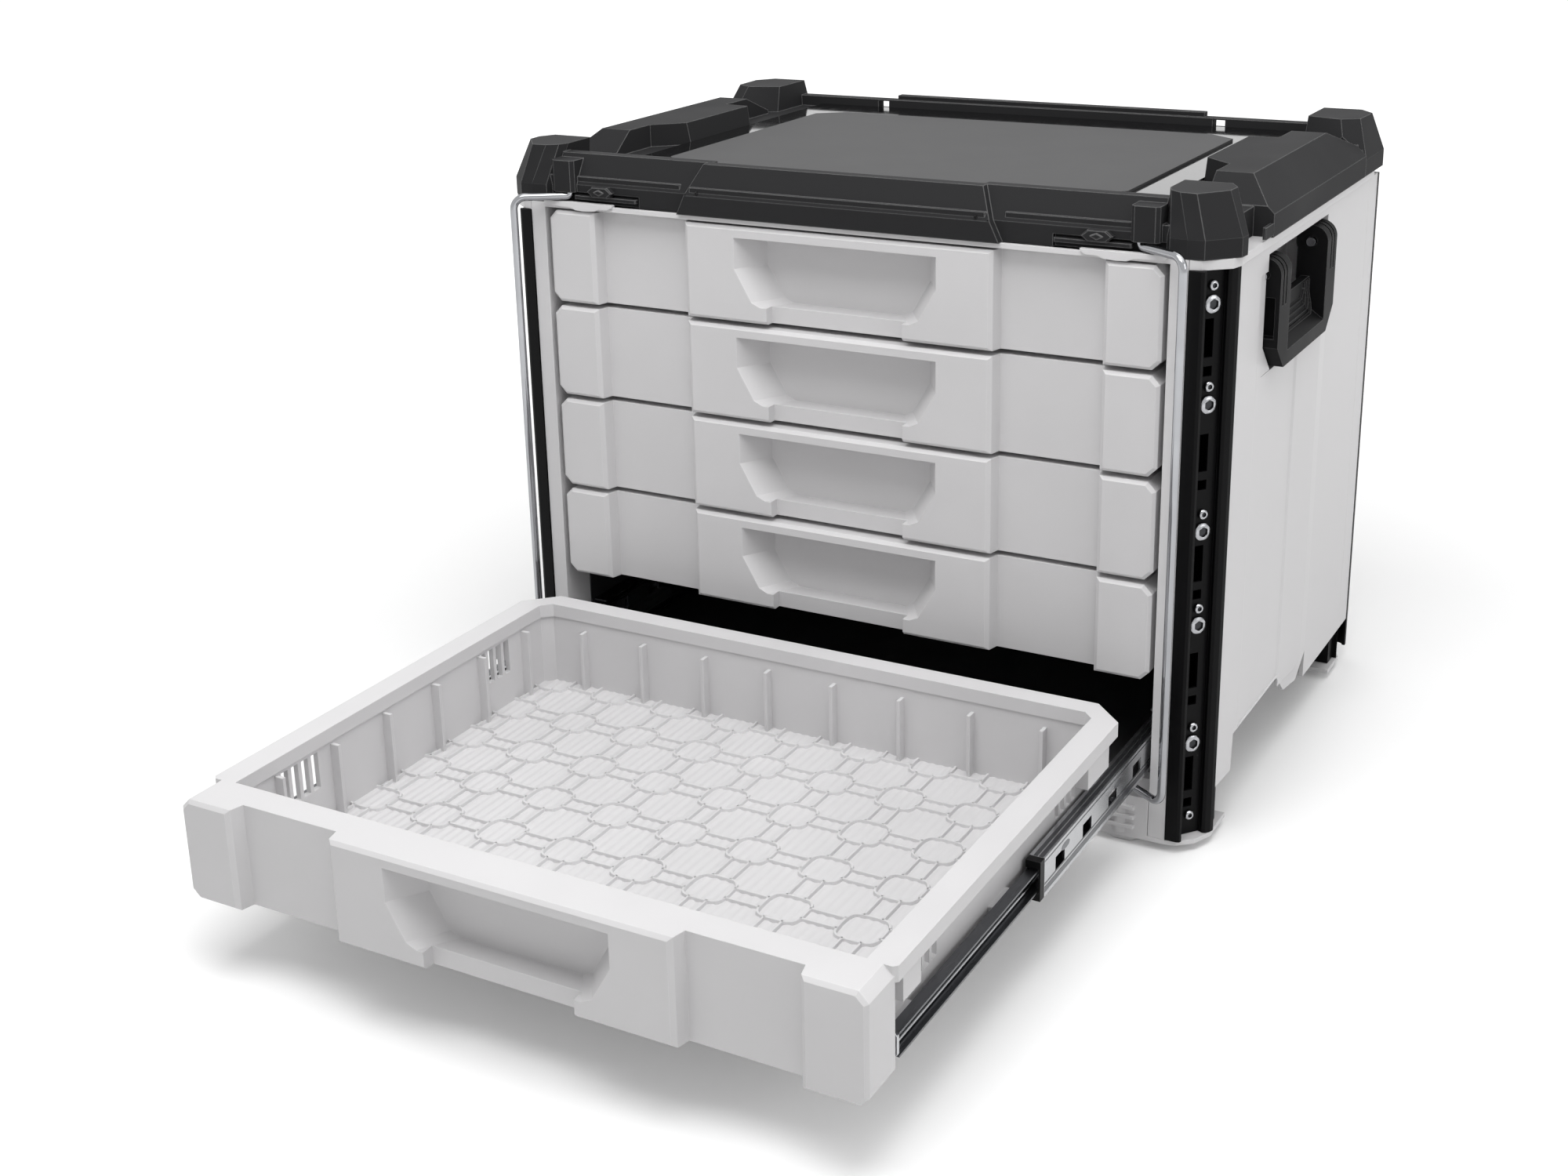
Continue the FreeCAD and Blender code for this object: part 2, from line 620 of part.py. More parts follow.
def make_post():
    """The front right corner post: a hollow slotted section with a sloping face."""
    body = new_body("post_front_right")
    wall = s("post_wall")
    panel_side = panel_face - s("panel_wall") - s("seat_gap")
    inner_side = opening_half + s("bezel_wall") + s("seat_gap")
    front_side = front + 1 + s("bezel_wall") + s("seat_gap")
    block(body, "section", "z", post_bottom, collar_bottom,
          [(post_inner, post_front), (panel_face, post_edge), (panel_side, post_edge),
           (panel_side, post_back), (inner_side, post_back), (inner_side, front_side),
           (post_inner, front_side)])
    block(body, "hollow", "z", post_bottom, collar_bottom - wall,
          [(post_inner + wall, post_front + wall * 2.2), (panel_side - wall, post_edge - 0.5),
           (panel_side - wall, post_back - wall), (inner_side + wall, post_back - wall),
           (inner_side + wall, front_side + wall), (post_inner, front_side + wall)], cut=True)
    start = s("post_channel_start")
    stop = start + s("post_channel")
    on_face = {"origin": (post_inner, 0), "turn": post_angle}
    depth = s("post_channel_depth")
    block(body, "channel", "y", post_front, post_front + depth,
          box(start, post_bottom, stop, collar_bottom), cut=True, **on_face)
    block(body, "bead_groove", "y", post_front, post_front + s("post_bead"),
          box(stop + 1.5, post_bottom, stop + 3, collar_bottom), cut=True, **on_face)
    half = s("slot_width") / 2
    slot_bottom = ground + s("slot_first")
    slot = block(body, "slot", "y", post_front, post_front + wall * 1.6,
                 box(post_middle - half, slot_bottom, post_middle + half,
                     slot_bottom + s("slot_length")), cut=True, **on_face)
    hole_bottom = slot_bottom - s("peg_drop")
    peg = block(body, "peg_hole", "y", post_front, post_front + wall * 1.6,
                box(post_middle - half, hole_bottom, post_middle + half,
                    hole_bottom + s("peg_hole")), cut=True, **on_face)
    rise = collar_bottom - s("slot_last") - s("slot_length") - slot_bottom
    pattern(body, "slots", [slot, peg], "z", rise / 4, 5)
    return piece(body)


def screw_heights(large):
    """Heights of one post's small or large screws."""
    drop = s("screw_drop") if large else as_size(0)
    heights = []
    lowest = ground + s("screw_first")
    between_groups = (collar_bottom - s("screw_last") - s("screw_pair") - lowest) / 2
    for group in range(3):
        lower = lowest + between_groups * group
        heights += [lower - drop, lower + s("screw_pair") - drop]
    return heights[1:] if large else heights


def round_outline(u, v, diameter, sides):
    """A regular polygon about a point, for a small round head."""
    radius = diameter / 2
    angles = [2 * math.pi * (k + 0.5) / sides for k in range(sides)]
    return [(u + radius * math.cos(angle), v + radius * math.sin(angle)) for angle in angles]


def make_screws(label, diameter, large):
    """Button heads on all four posts."""
    body = new_body(label, compound=True)
    seat = post_front + s("post_channel_depth")
    heads = [round_outline(post_middle, height, diameter, 10) for height in screw_heights(large)]
    block(body, "heads", "y", seat - s("head_height"), seat, *heads,
          origin=(post_inner, 0), turn=post_angle)
    mirror(body, "left_posts")
    mirror(body, "rear_posts", plane="XZ_Plane")
    return piece(body)


# ---------------------------------------------------------------------------
# Lid
# ---------------------------------------------------------------------------
# Corner blocks of the lid, as distances in from the lid's side edge and back from the front plane of
# the drawers or from the rear face: the outline up to the crease, then the outline of the crown.
CORNER_BLOCKS = (
    ("front_corner", front,
     [(36, 6), (33, 2), (23.5, 1), (15, 2.2), (0.7, 17), (0, 24), (11, 42), (36, 42)],
     [(39, 18), (36.5, 12), (30.5, 7.6), (21.6, 6.6), (9.4, 21.6), (8.8, 31), (14, 40), (39, 40)]),
    ("rear_corner", rear,
     [(40, -44), (11, -58), (0, -50), (0, -8), (12, 5.5), (40, 5.5)],
     [(39, -38), (18, -44), (8, -38), (7, -14), (16, -3), (39, -3)]),
)


def make_lid():
    """The black lid moulding: right half, then both halves."""
    body = new_body("top_cover", (0, 0, lid_bottom))
    slab_top = s("lid_height")
    face = front - s("lid_lip")
    nose = s("lid_nose") / 2
    side_face = face + s("lid_shoulder")
    shoulder = s("lid_shoulder")
    block(body, "slab", "z", 0, slab_top,
          [(0, face + 1), (nose - 2, face + 1), (nose, side_face + 1), (lid_half - 34, side_face + 1),
           (lid_half - 11, front + 14), (lid_half - 11, rear - 4), (0, rear - 4)])
    slant = s("lid_nose_slant") / 2
    for name, low, high, start in (("nose", 0, nose + slant, face),
                                   ("side_front", nose - slant - 2, corner_inner + 2, face + shoulder)):
        lean = start + s("lid_front_slope")
        wall_back = lean + s("lid_wall")
        block(body, name, "x", low, high,
              [(start, 0), (start, s("lid_crease")), (lean, s("lid_front_top")),
               (wall_back, s("lid_front_top")), (wall_back, 1), (start + 4, 0)])
        if name == "nose":
            block(body, "nose_edge", "y", face - 1, wall_back + 1,
                  [(nose + slant, 0), (nose + slant + 1, 0),
                   (nose + slant + 1, s("lid_front_top") + 1), (nose - slant, s("lid_front_top") + 1),
                   (nose - slant, s("lid_front_top"))], cut=True)
    for name, edge_line, low_corners, top_corners in CORNER_BLOCKS:
        low_outline = [(lid_half - u, edge_line + v) for u, v in low_corners]
        top_outline = [(lid_half - u, edge_line + v) for u, v in top_corners]
        block(body, name, "z", 0, s("bump_crease"), low_outline)
        crease = sketch_on(body, f"{name}_crease", "z", s("bump_crease"))
        draw_polygon(crease, low_outline)
        crown = sketch_on(body, f"{name}_top", "z", s("bump_height"))
        draw_polygon(crown, top_outline)
        loft(body, f"{name}_block", crease, crown)
    rail_outer = lid_half
    rail_top = s("rail_lift")
    top_outer = rail_outer - s("rail_slope")
    top_inner = top_outer - s("rail_top_width")
    rail_front = front + s("rail_front")
    rail_back = rear - s("rail_back")
    tail = rail_back + 29
    rail_root = rail_outer - 15
    block(body, "side_rail", "y", rail_front, tail,
          [(rail_root, 0), (rail_outer, 0), (rail_outer, s("rail_band")), (top_outer, rail_top),
           (top_inner, rail_top), (top_inner - 2, slab_top - 1), (rail_root, slab_top - 1)])
    block(body, "latch_boss", "z", 0, slab_top + 2.5,
          box(rail_outer - 18, tail - 1, rail_outer - 6, tail + 17))
    block(body, "rail_nose", "x", top_inner - 3, rail_outer + 1,
          [(rail_front - 1, s("rail_band") + 3), (rail_front + 18.6, rail_top + 1),
           (rail_front - 1, rail_top + 1)], cut=True)
    block(body, "rail_tail", "x", top_inner - 3, rail_outer + 1,
          [(rail_back, rail_top + 1), (rail_back, rail_top), (tail + 1, slab_top + 2),
           (tail + 1, rail_top + 1)], cut=True)
    notch = top_outer - 20
    block(body, "rail_notch_front", "z", slab_top, rail_top + 1,
          [(top_inner - 3, rail_front - 1), (notch, rail_front - 1), (notch, rail_front + 40),
           (top_inner - 3, rail_front + 58)], cut=True)
    block(body, "rail_notch_rear", "z", slab_top, rail_top + 1,
          [(top_inner - 3, rail_back - 28), (notch, rail_back - 26), (notch, tail + 1),
           (top_inner - 3, tail + 1)], cut=True)
    wall_front = rear - s("lid_rear_wall")
    block(body, "rear_wall", "y", wall_front, rear,
          box(0, slab_top - 1, corner_inner + 2, s("lid_rear_top")))
    raised = s("lid_rear_span") / 2
    block(body, "rear_raise", "y", wall_front + 2, rear,
          box(0, slab_top, raised, s("lid_rear_top") + s("lid_rear_raise")))
    block(body, "rear_window", "y", wall_front - 1, rear + 1,
          box(raised + 6, slab_top + 1.2, raised + 14, s("lid_rear_top") - 1), cut=True)
    lug_top = s("lid_front_top") - 2.5
    lug_front = front + 0.3
    block(body, "bail_lug", "z", lug_bottom - lid_bottom, lug_top,
          [(lug_left, lug_front + 2), (lug_left + 2, lug_front), (lug_right - 2, lug_front),
           (lug_right, lug_front + 2), (lug_right, front + 14), (lug_left, front + 14)])
    notch_left = bail_pivot[0] - s("bail_reach") - 13.6
    notch_back = front + s("bail_pivot_setback") + s("wire") / 2 + 1
    block(body, "bail_notch", "z", -1, lug_bottom - lid_bottom,
          [(notch_left, face - 1), (lid_half - 34, face - 1), (lid_half - 34, front),
           (corner_inner + 4, notch_back), (notch_left, notch_back)], cut=True)
    block(body, "bail_socket", "z", lug_bottom - lid_bottom,
          lug_bottom - lid_bottom + s("bail_pin"),
          (bail_pivot, s("wire") + s("pin_play") * 2), cut=True)
    mirror(body, "left_half")
    return piece(body)


def make_top_panel():
    """The glossy panel let into the lid."""
    body = new_body("top_panel", (0, 0, lid_bottom + s("lid_height")))
    block(body, "panel", "z", 0, s("panel_thickness"),
          box(-well_half, well_front, well_half, well_rear))
    return piece(body)


def make_mat():
    """The soft mat on the panel."""
    body = new_body("top_mat", (0, 0, lid_bottom + s("lid_height") + s("panel_thickness")))
    half = well_half - s("mat_margin")
    cut = s("mat_corner")
    fore = front + s("mat_front")
    aft = rear - s("mat_back")
    block(body, "mat", "z", 0, s("mat_thickness"),
          [(half - cut, fore), (half, fore + cut), (half, aft - cut * 0.7), (half - cut, aft),
           (cut - half, aft), (-half, aft - cut * 0.7), (-half, fore + cut), (cut - half, fore)])
    return piece(body)


# ---------------------------------------------------------------------------
# Drawer
# ---------------------------------------------------------------------------
def make_drawer():
    """One drawer moulding, right half then both. Origin at the bottom of its front face."""
    body = new_body("drawer_1", drawer_place(1))
    height = s("front_height")
    half = front_half
    depth = s("front_depth")
    raised = s("block_span") / 2
    recess = s("face_recess")
    draft = s("face_draft")
    pad = half - s("pad_width")
    block(body, "front", "z", 0, height,
          [(0, 0), (raised, 0), (raised + draft, recess), (pad - draft, recess), (pad, 0),
           (half, 0), (half, depth), (0, depth)])
    cut = s("front_corner")
    block(body, "corner_cuts", "y", 0, depth,
          [(half - cut, height), (half, height - cut), (half, height)],
          [(half - cut, 0), (half, 0), (half, cut)], cut=True)
    dress(body, "Chamfer", "face_bevel", s("front_bevel"), on_face_plane)
    mouth_half = s("pull_span") / 2
    base_half = s("pull_base_span") / 2
    floor = s("pull_floor")
    mouth = sketch_on(body, "pull_mouth", "y", 0)
    pull_top = height - s("pull_drop")
    draw_polygon(mouth, pull_outline(mouth_half, base_half, floor, pull_top))
    inset = s("pull_draft")
    wall = sketch_on(body, "pull_wall", "y", s("pull_depth"))
    draw_polygon(wall, pull_outline(mouth_half - inset, base_half - inset, floor, pull_top - 2))
    loft(body, "finger_pull", mouth, wall, cut=True)
    block(body, "lip", "y", 0, s("lip_recess"),
          box(0, 0, s("lip_span") / 2, floor + 4), cut=True)
    outer = tray_half
    inner = outer - s("tray_wall")
    rim_outer = rim_half
    rim_inner = inner - s("rim_inside")
    rim_back = s("case_depth") - s("tray_back")
    rim_fore = rim_back - s("rear_rim")
    wall_fore = rim_fore + s("rim_inside")
    wall_back = wall_fore + s("tray_wall")
    rim_bottom = height - s("rim_height")
    corner = s("rim_corner")
    mouth_cut = s("mouth_corner")
    block(body, "tub", "z", 0, rim_bottom,
          [(0, depth - 1), (outer, depth - 1), (outer, wall_back - corner + 8),
           (outer - corner + 8, wall_back), (0, wall_back)])
    block(body, "rim", "z", rim_bottom, height,
          [(0, depth - 1), (rim_outer - 2, depth - 1), (rim_outer, depth + 1),
           (rim_outer, rim_back - corner), (rim_outer - corner, rim_back), (0, rim_back)])
    block(body, "rim_shoulder", "z", rim_bottom - 16, rim_bottom,
          box(outer - 1, depth + 11, rim_outer - 3, depth + 28),
          box(outer - 1, rim_back - 50, rim_outer - 3, rim_back - corner - 4))
    block(body, "mouth", "z", rim_bottom - 0.5, height,
          [(0, depth), (rim_inner, depth), (rim_inner, rim_fore - mouth_cut),
           (rim_inner - mouth_cut, rim_fore), (0, rim_fore)], cut=True)
    block(body, "inside", "z", s("tray_floor"), rim_bottom,
          [(0, depth), (inner, depth), (inner, wall_fore - mouth_cut),
           (inner - mouth_cut, wall_fore), (0, wall_fore)], cut=True)
    block(body, "rim_channel", "y", depth + 3, rim_back - corner - 2,
          box(outer + 2.2, rim_bottom, rim_outer - 2, height - 3), cut=True)
    thick = s("rib_thickness") / 2
    first = s("first_rib")
    rib = block(body, "side_rib", "z", s("tray_floor") - 0.5, height - s("rib_drop"),
                box(inner - s("rib_reach"), first - thick, inner + 0.5, first + thick))
    pattern(body, "side_ribs", [rib], "y", s("cell_pitch"), 6)
    column = s("cell_pitch") / 2
    rib = block(body, "rear_rib", "z", s("tray_floor") - 0.5, height - s("rear_rib_drop"),
                box(column - thick, wall_fore - s("rib_reach"), column + thick, wall_fore + 0.5))
    pattern(body, "rear_ribs", [rib], "x", s("cell_pitch"), 4)
    window_head = height - s("window_drop")
    for name, start in (("front_window", s("front_window")), ("rear_window", s("rear_window"))):
        slot = block(body, f"{name}_slot", "x", inner - 1, outer + 1,
                     box(start, s("window_sill"), start + s("window_slot"), window_head), cut=True)
        pattern(body, name, [slot], "y", s("window_pitch"), 4)
    pad_half = s("inner_rail_height") / 2 - s("rail_gauge")
    stand = block(body, "slide_pad", "x", outer - 1, outer + s("boss_stand"),
                  box(34, s("rail_axis") - pad_half, 54, s("rail_axis") + pad_half))
    pattern(body, "slide_pads", [stand], "y", s("pad_pitch"), 3)
    mirror(body, "left_half")
    return piece(body)


def pull_outline(half, base, floor, top):
    """Right half of the finger pocket's outline."""
    shoulder = s("pull_shoulder")
    return [(0, floor), (base, floor), (base + 5.5, floor + 2.5), (half, shoulder), (half, top), (0, top)]


def on_face_plane(edge):
    """True for an edge in the plane of the front face that isn't on the middle plane."""
    points = [vertex.Point for vertex in edge.Vertexes]
    in_face = all(abs(point.y) < 1e-6 for point in points)
    in_middle = all(abs(point.x) < 1e-6 for point in points)
    return in_face and not in_middle


# ---------------------------------------------------------------------------
# Slides
# ---------------------------------------------------------------------------
def channel(edge, back, half):
    """Section of a slide member: open at edge, closed by a web at back."""
    gauge = s("rail_gauge")
    web = back - gauge if back.value > edge.value else back + gauge
    return [(edge, -half), (back, -half), (back, half), (edge, half), (edge, half - gauge),
            (web, half - gauge), (web, gauge - half), (edge, gauge - half)]


def make_outer_rails():
    """The pair of members that are fixed to the case."""
    body = new_body("outer_rails_1", rail_place(1), compound=True)
    half = s("outer_rail_height") / 2
    block(body, "member", "y", 0, outer_rail_length, channel(fixed_edge, liner_face, half))
    hole = block(body, "hole", "x", liner_face - s("rail_gauge") * 2, liner_face + 1,
                 box(20, -3, 34, 3), cut=True)
    pattern(body, "holes", [hole], "y", 54, 5)
    mirror(body, "left_side")
    return piece(body)


def make_middle_rails():
    """The pair of members between the case's and the drawer's."""
    body = new_body("middle_rails_1", middle_place(1), compound=True)
    half = s("middle_rail_height") / 2
    block(body, "member", "y", 0, outer_rail_length - s("middle_short"), channel(middle_edge, middle_back, half))
    hole = block(body, "hole", "x", middle_back - s("rail_gauge") * 2, middle_back + 1,
                 box(14, -4, 26, 4), cut=True)
    pattern(body, "holes", [hole], "y", 36, 7)
    mirror(body, "left_side")
    return piece(body)


def make_rail_stops():
    """The black stops on the front ends of the middle members."""
    body = new_body("rail_stops_1", middle_place(1), compound=True)
    half = s("middle_rail_height") / 2
    slot = s("inner_rail_height") / 2 + s("rail_play")
    web = middle_back - s("rail_gauge")
    block(body, "stop", "y", -s("stop_length"), 0,
          [(middle_edge, -half), (middle_back, -half), (middle_back, half), (middle_edge, half),
           (middle_edge, slot), (web, slot), (web, -slot), (middle_edge, -slot)])
    mirror(body, "left_side")
    return piece(body)


def make_inner_rails():
    """The pair of members on the drawer's sides."""
    body = new_body("inner_rails_1", inner_place(1), compound=True)
    half = s("inner_rail_height") / 2
    web = tray_half + s("boss_stand")
    edge = middle_back - s("rail_gauge") - s("rail_play")
    block(body, "member", "y", 0, outer_rail_length - s("inner_short"), channel(edge, web, half))
    mirror(body, "left_side")
    return piece(body)


def rail_place(number):
    """Front end of a drawer's fixed members, at the middle of their height."""
    return (0, front + s("rail_setback"), drawer_height(number) + s("rail_axis"))


def middle_place(number):
    """Front end of a drawer's middle members at rest."""
    out = s("travel") * MIDDLE_SHARE if number == DRAWERS else as_size(0)
    shut = s("rail_setback") + s("stop_length") - 1.5
    return (0, front + shut - out, drawer_height(number) + s("rail_axis"))


def inner_place(number):
    """Front end of a drawer's own members at rest."""
    _, y, z = drawer_place(number)
    return (0, y + s("rail_setback") + 1.5, z + s("rail_axis"))


# ---------------------------------------------------------------------------
# Bails and handles
# ---------------------------------------------------------------------------
def wire_path(sketch, corners, radii):
    """Straight runs joined by tangent arcs, for corners that turn a right angle."""
    points = [(as_size(u), as_size(v)) for u, v in corners]
    runs = []
    for index in range(len(points) - 1):
        ends = []
        for this, other, radius in ((index, index + 1, radii[index]),
                                    (index + 1, index, radii[index + 1])):
            shift = [sign(points[other][k].value - points[this][k].value) for k in (0, 1)]
            ends.append(tuple(points[this][k] + as_size(radius) * shift[k] for k in (0, 1)))
        start, end = (FreeCAD.Vector(p[0].value, p[1].value, 0) for p in ends)
        line = sketch.addGeometry(Part.LineSegment(start, end), False)
        pin_point(sketch, line, 1, ends[0])
        pin_point(sketch, line, 2, ends[1])
        runs.append((line, start, end))
    for index, (before, after) in enumerate(zip(runs, runs[1:]), start=1):
        join_by_arc(sketch, before, after, points[index], as_size(radii[index]))


def join_by_arc(sketch, before, after, corner, radius):
    """A quarter turn from the end of one run to the start of the next."""
    start, end = before[2], after[1]
    corner = FreeCAD.Vector(corner[0].value, corner[1].value, 0)
    centre = start + end - corner
    low, high = (math.atan2(*(point - centre)[1::-1]) for point in (start, end))
    forward = (start - centre).cross(end - centre).z > 0
    if not forward:
        low, high = high, low
    if high < low:
        high += 2 * math.pi
    ring = Part.Circle(centre, FreeCAD.Vector(0, 0, 1), radius.value)
    arc = sketch.addGeometry(Part.ArcOfCircle(ring, low, high), False)
    first, last = (1, 2) if forward else (2, 1)
    sketch.addConstraint(Sketcher.Constraint("Coincident", before[0], 2, arc, first))
    sketch.addConstraint(Sketcher.Constraint("Coincident", arc, last, after[0], 1))
    number = sketch.addConstraint(Sketcher.Constraint("Radius", arc, radius.value))
    bind(sketch, f"Constraints[{number}]", radius)


def sign(value):
    """-1, 0 or 1."""
    return (value > 1e-9) - (value < -1e-9)


def make_bail():
    """The right wire bail, in its own upright plane through its pivots."""
    body = new_body("bail_right")
    place(body, (bail_pivot[0], bail_pivot[1], 0), -s("bail_swing"))
    top, bottom = bail_high, bail_low
    reach, pin = s("bail_reach"), s("bail_pin") - s("pin_play")
    tight = s("wire") / 2 + 0.2
    bend = s("bail_bend")
    path = sketch_on(body, "path", "y", 0)
    wire_path(path, [(0, top + pin), (0, top), (reach, top), (reach, bottom), (0, bottom),
                     (0, bottom - pin)], [0, tight, bend, bend, tight, 0])
    profile = sketch_on(body, "profile", "z", top + pin)
    draw_circle(profile, (0, 0), s("wire"))
    wire = body.newObject("PartDesign::AdditivePipe", "wire")
    wire.Profile = profile
    wire.Spine = path
    return piece(body)


def make_handle():
    """The right folding handle. Origin on its pin axis at the front end."""
    body = new_body("handle_right", (handle_axis, front + s("handle_front"), handle_level))
    outside = panel_face + s("handle_stand") - handle_axis
    inside = outside - s("handle_thickness")
    low = s("handle_knuckle") - s("handle_height")
    span = s("handle_span")
    arm = s("handle_arm")
    grip_top = low + s("handle_grip")
    block(body, "plate", "y", 0, span, box(inside, low, outside, 0))
    block(body, "knuckle", "y", 0, span, ((0, 0), s("handle_knuckle") * 2))
    block(body, "hand_hole", "x", -s("handle_knuckle") - 2, outside + 1,
          box(arm, grip_top, span - arm, s("handle_knuckle") + 1), cut=True)
    scoop = outside - s("grip_scoop")
    edge = low + s("grip_scoop_edge")
    block(body, "grip_scoop", "y", arm, span - arm,
          [(outside + 1, grip_top + 1), (scoop, grip_top + 1), (scoop, grip_top - 8),
           (scoop + 2.5, edge + 5), (outside, edge), (outside + 1, edge)], cut=True)
    block(body, "finger_scoop", "x", inside - 1, inside + s("finger_scoop"),
          box(arm, edge, span - arm, grip_top + 1), cut=True)
    rim = s("arm_rim")
    shut = -s("handle_knuckle") - 3
    for name, fore, aft in (("front_arm_pocket", as_size(0), s("arm_pocket")),
                            ("rear_arm_pocket", span - s("arm_pocket"), span)):
        block(body, name, "y", fore, aft,
              [(inside + rim, low + s("handle_corner") + 5), (outside - rim, low + s("handle_corner") + 5),
               (outside - rim, shut), (inside + rim, shut)], cut=True)
    cut = s("handle_corner")
    block(body, "corner_cuts", "x", inside - 1, outside + 1,
          [(0, low), (cut, low), (0, low + cut)],
          [(span, low), (span, low + cut), (span - cut, low)], cut=True)
    ring = s("handle_knuckle") * 2 - 3.2
    for start in (4.2, 9.6):
        for name, fore in ((f"groove_{start}", as_size(start)),
                           (f"far_groove_{start}", span - start - 2.4)):
            groove = name.replace(".", "_")
            block(body, groove, "y", fore, fore + 2.4, ((0, 0), s("handle_knuckle") * 2 + 2),
                  ((0, 0), ring), cut=True)
            block(body, f"{groove}_low", "y", fore, fore + 2.4,
                  box(outside - 1.6, -17, outside + 1, 0), cut=True)
    block(body, "bore", "y", -1, span + 1,
          ((0, 0), s("handle_pin") + s("pin_play") * 2), cut=True)
    return piece(body)


def make_handle_pins():
    """The two pins of the right handle."""
    body = new_body("handle_pins_right", (handle_axis, front, handle_level), compound=True)
    wall = s("bezel_wall")
    fore = pocket_front - front
    aft = pocket_rear - front
    reach = s("pocket_margin") + s("handle_arm") + 3
    block(body, "front_pin", "y", fore - wall, fore + reach, ((0, 0), s("handle_pin")))
    block(body, "rear_pin", "y", aft - reach, aft + wall, ((0, 0), s("handle_pin")))
    return piece(body)


# ---------------------------------------------------------------------------
# Shared places that need more than one value
# ---------------------------------------------------------------------------
MIDDLE_SHARE = 0.535
bail_pivot = (panel_face - s("bail_inset"), front + s("bail_pivot_setback"))
bail_high = lid_bottom + s("bail_rise")
bail_low = ground + s("bail_bottom")
socket_top = bail_low - s("wire") / 2 - s("seat_gap")
lug_bottom = bail_high + s("wire") / 2 + s("seat_gap")
lug_left = bail_pivot[0] - 4.6
lug_right = bail_pivot[0] + 10.4
corner_inner = lid_half - 40
well_half = lid_half - s("rail_slope") - s("rail_top_width") - 2 - s("seat_gap")
post_angle = arc_tangent(s("post_reach"), panel_face - post_inner)
post_middle = s("post_channel_start") + s("post_channel") / 2
well_front = front - s("lid_lip") + s("lid_shoulder") + s("lid_front_slope") + s("lid_wall") + s("seat_gap")
well_rear = rear - s("lid_rear_wall") - s("seat_gap")
handle_axis = panel_face + s("handle_stand") - s("handle_knuckle")
pocket_front = front + s("handle_front") - s("pocket_margin")
pocket_rear = pocket_front + s("handle_span") + s("pocket_margin") * 2
handle_level = lid_bottom - s("handle_drop")
pocket_top = handle_level + s("handle_knuckle") + s("pocket_margin")
pocket_floor = pocket_top - s("handle_height") - s("pocket_margin") * 2
fixed_edge = tray_half + s("rail_edge")
middle_edge = fixed_edge + s("rail_play")
middle_back = liner_face - s("rail_gauge") - s("rail_play")


def other_side(source, label, normal):
    """A mirror-image piece on the other side of the case."""
    image = doc.addObject("Part::Mirroring", label)
    image.Label = label
    image.Source = source
    image.Normal = normal
    return piece(image)


def build():
    """Make every piece of the case."""
    across = FreeCAD.Vector(1, 0, 0)
    along = FreeCAD.Vector(0, 1, 0)
    make_base()
    make_floor_plate()
    make_bezel()
    make_rear_panel()
    make_collar()
    other_side(make_liner(), "inner_wall_left", across)
    other_side(make_side_panel(), "side_panel_left", across)
    post = make_post()
    left_post = other_side(post, "post_front_left", across)
    other_side(post, "post_rear_right", along)
    other_side(left_post, "post_rear_left", along)
    make_screws("small_screws", s("small_head"), large=False)
    make_screws("large_screws", s("large_head"), large=True)
    make_lid()
    make_top_panel()
    make_mat()
    sets = (("drawer", make_drawer(), drawer_place), ("outer_rails", make_outer_rails(), rail_place),
            ("middle_rails", make_middle_rails(), middle_place),
            ("rail_stops", make_rail_stops(), middle_place),
            ("inner_rails", make_inner_rails(), inner_place))
    doc.recompute()
    for kind, source, where in sets:
        for number in range(2, DRAWERS + 1):
            piece(derived(f"{kind}_{number}", source, where(number), compound=kind != "drawer"))
    other_side(make_bail(), "bail_left", across)
    other_side(make_handle(), "handle_left", across)
    other_side(make_handle_pins(), "handle_pins_left", across)
    doc.recompute()


def check_features():
    """Stop if an object failed, or if a pad or a cut changed nothing."""
    for obj in doc.Objects:
        failed = {"Invalid", "Error"} & set(obj.State)
        if failed:
            raise RuntimeError(f"{obj.Label}: {failed}")
        base = getattr(obj, "BaseFeature", None)
        if base and obj.TypeId not in ("PartDesign::Body", "PartDesign::FeatureBase"):
            change = obj.Shape.Volume - base.Shape.Volume
            removes = obj.TypeId in ("PartDesign::Pocket", "PartDesign::SubtractiveLoft",
                                     "PartDesign::Chamfer")
            if abs(change) < 1e-6 or (removes and change > 0):
                raise RuntimeError(f"{obj.Label} changes the volume by {change:.4f}")


def export():
    """Check each piece and write its file."""
    for body in pieces:
        shape = body.Shape
        if shape.isNull() or not shape.isValid() or not shape.Solids:
            raise RuntimeError(f"{body.Label} has no valid shape")
        shape.exportStep(f"parts/{body.Label}.step")


build()
check_features()
export()
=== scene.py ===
"""Finishes, fine pieces and a plain studio for a socket organizer drawer box."""
import logging
import math
from dataclasses import dataclass
from enum import Enum
from typing import Iterable

import bpy
import numpy as np
from mathutils import Matrix, Vector


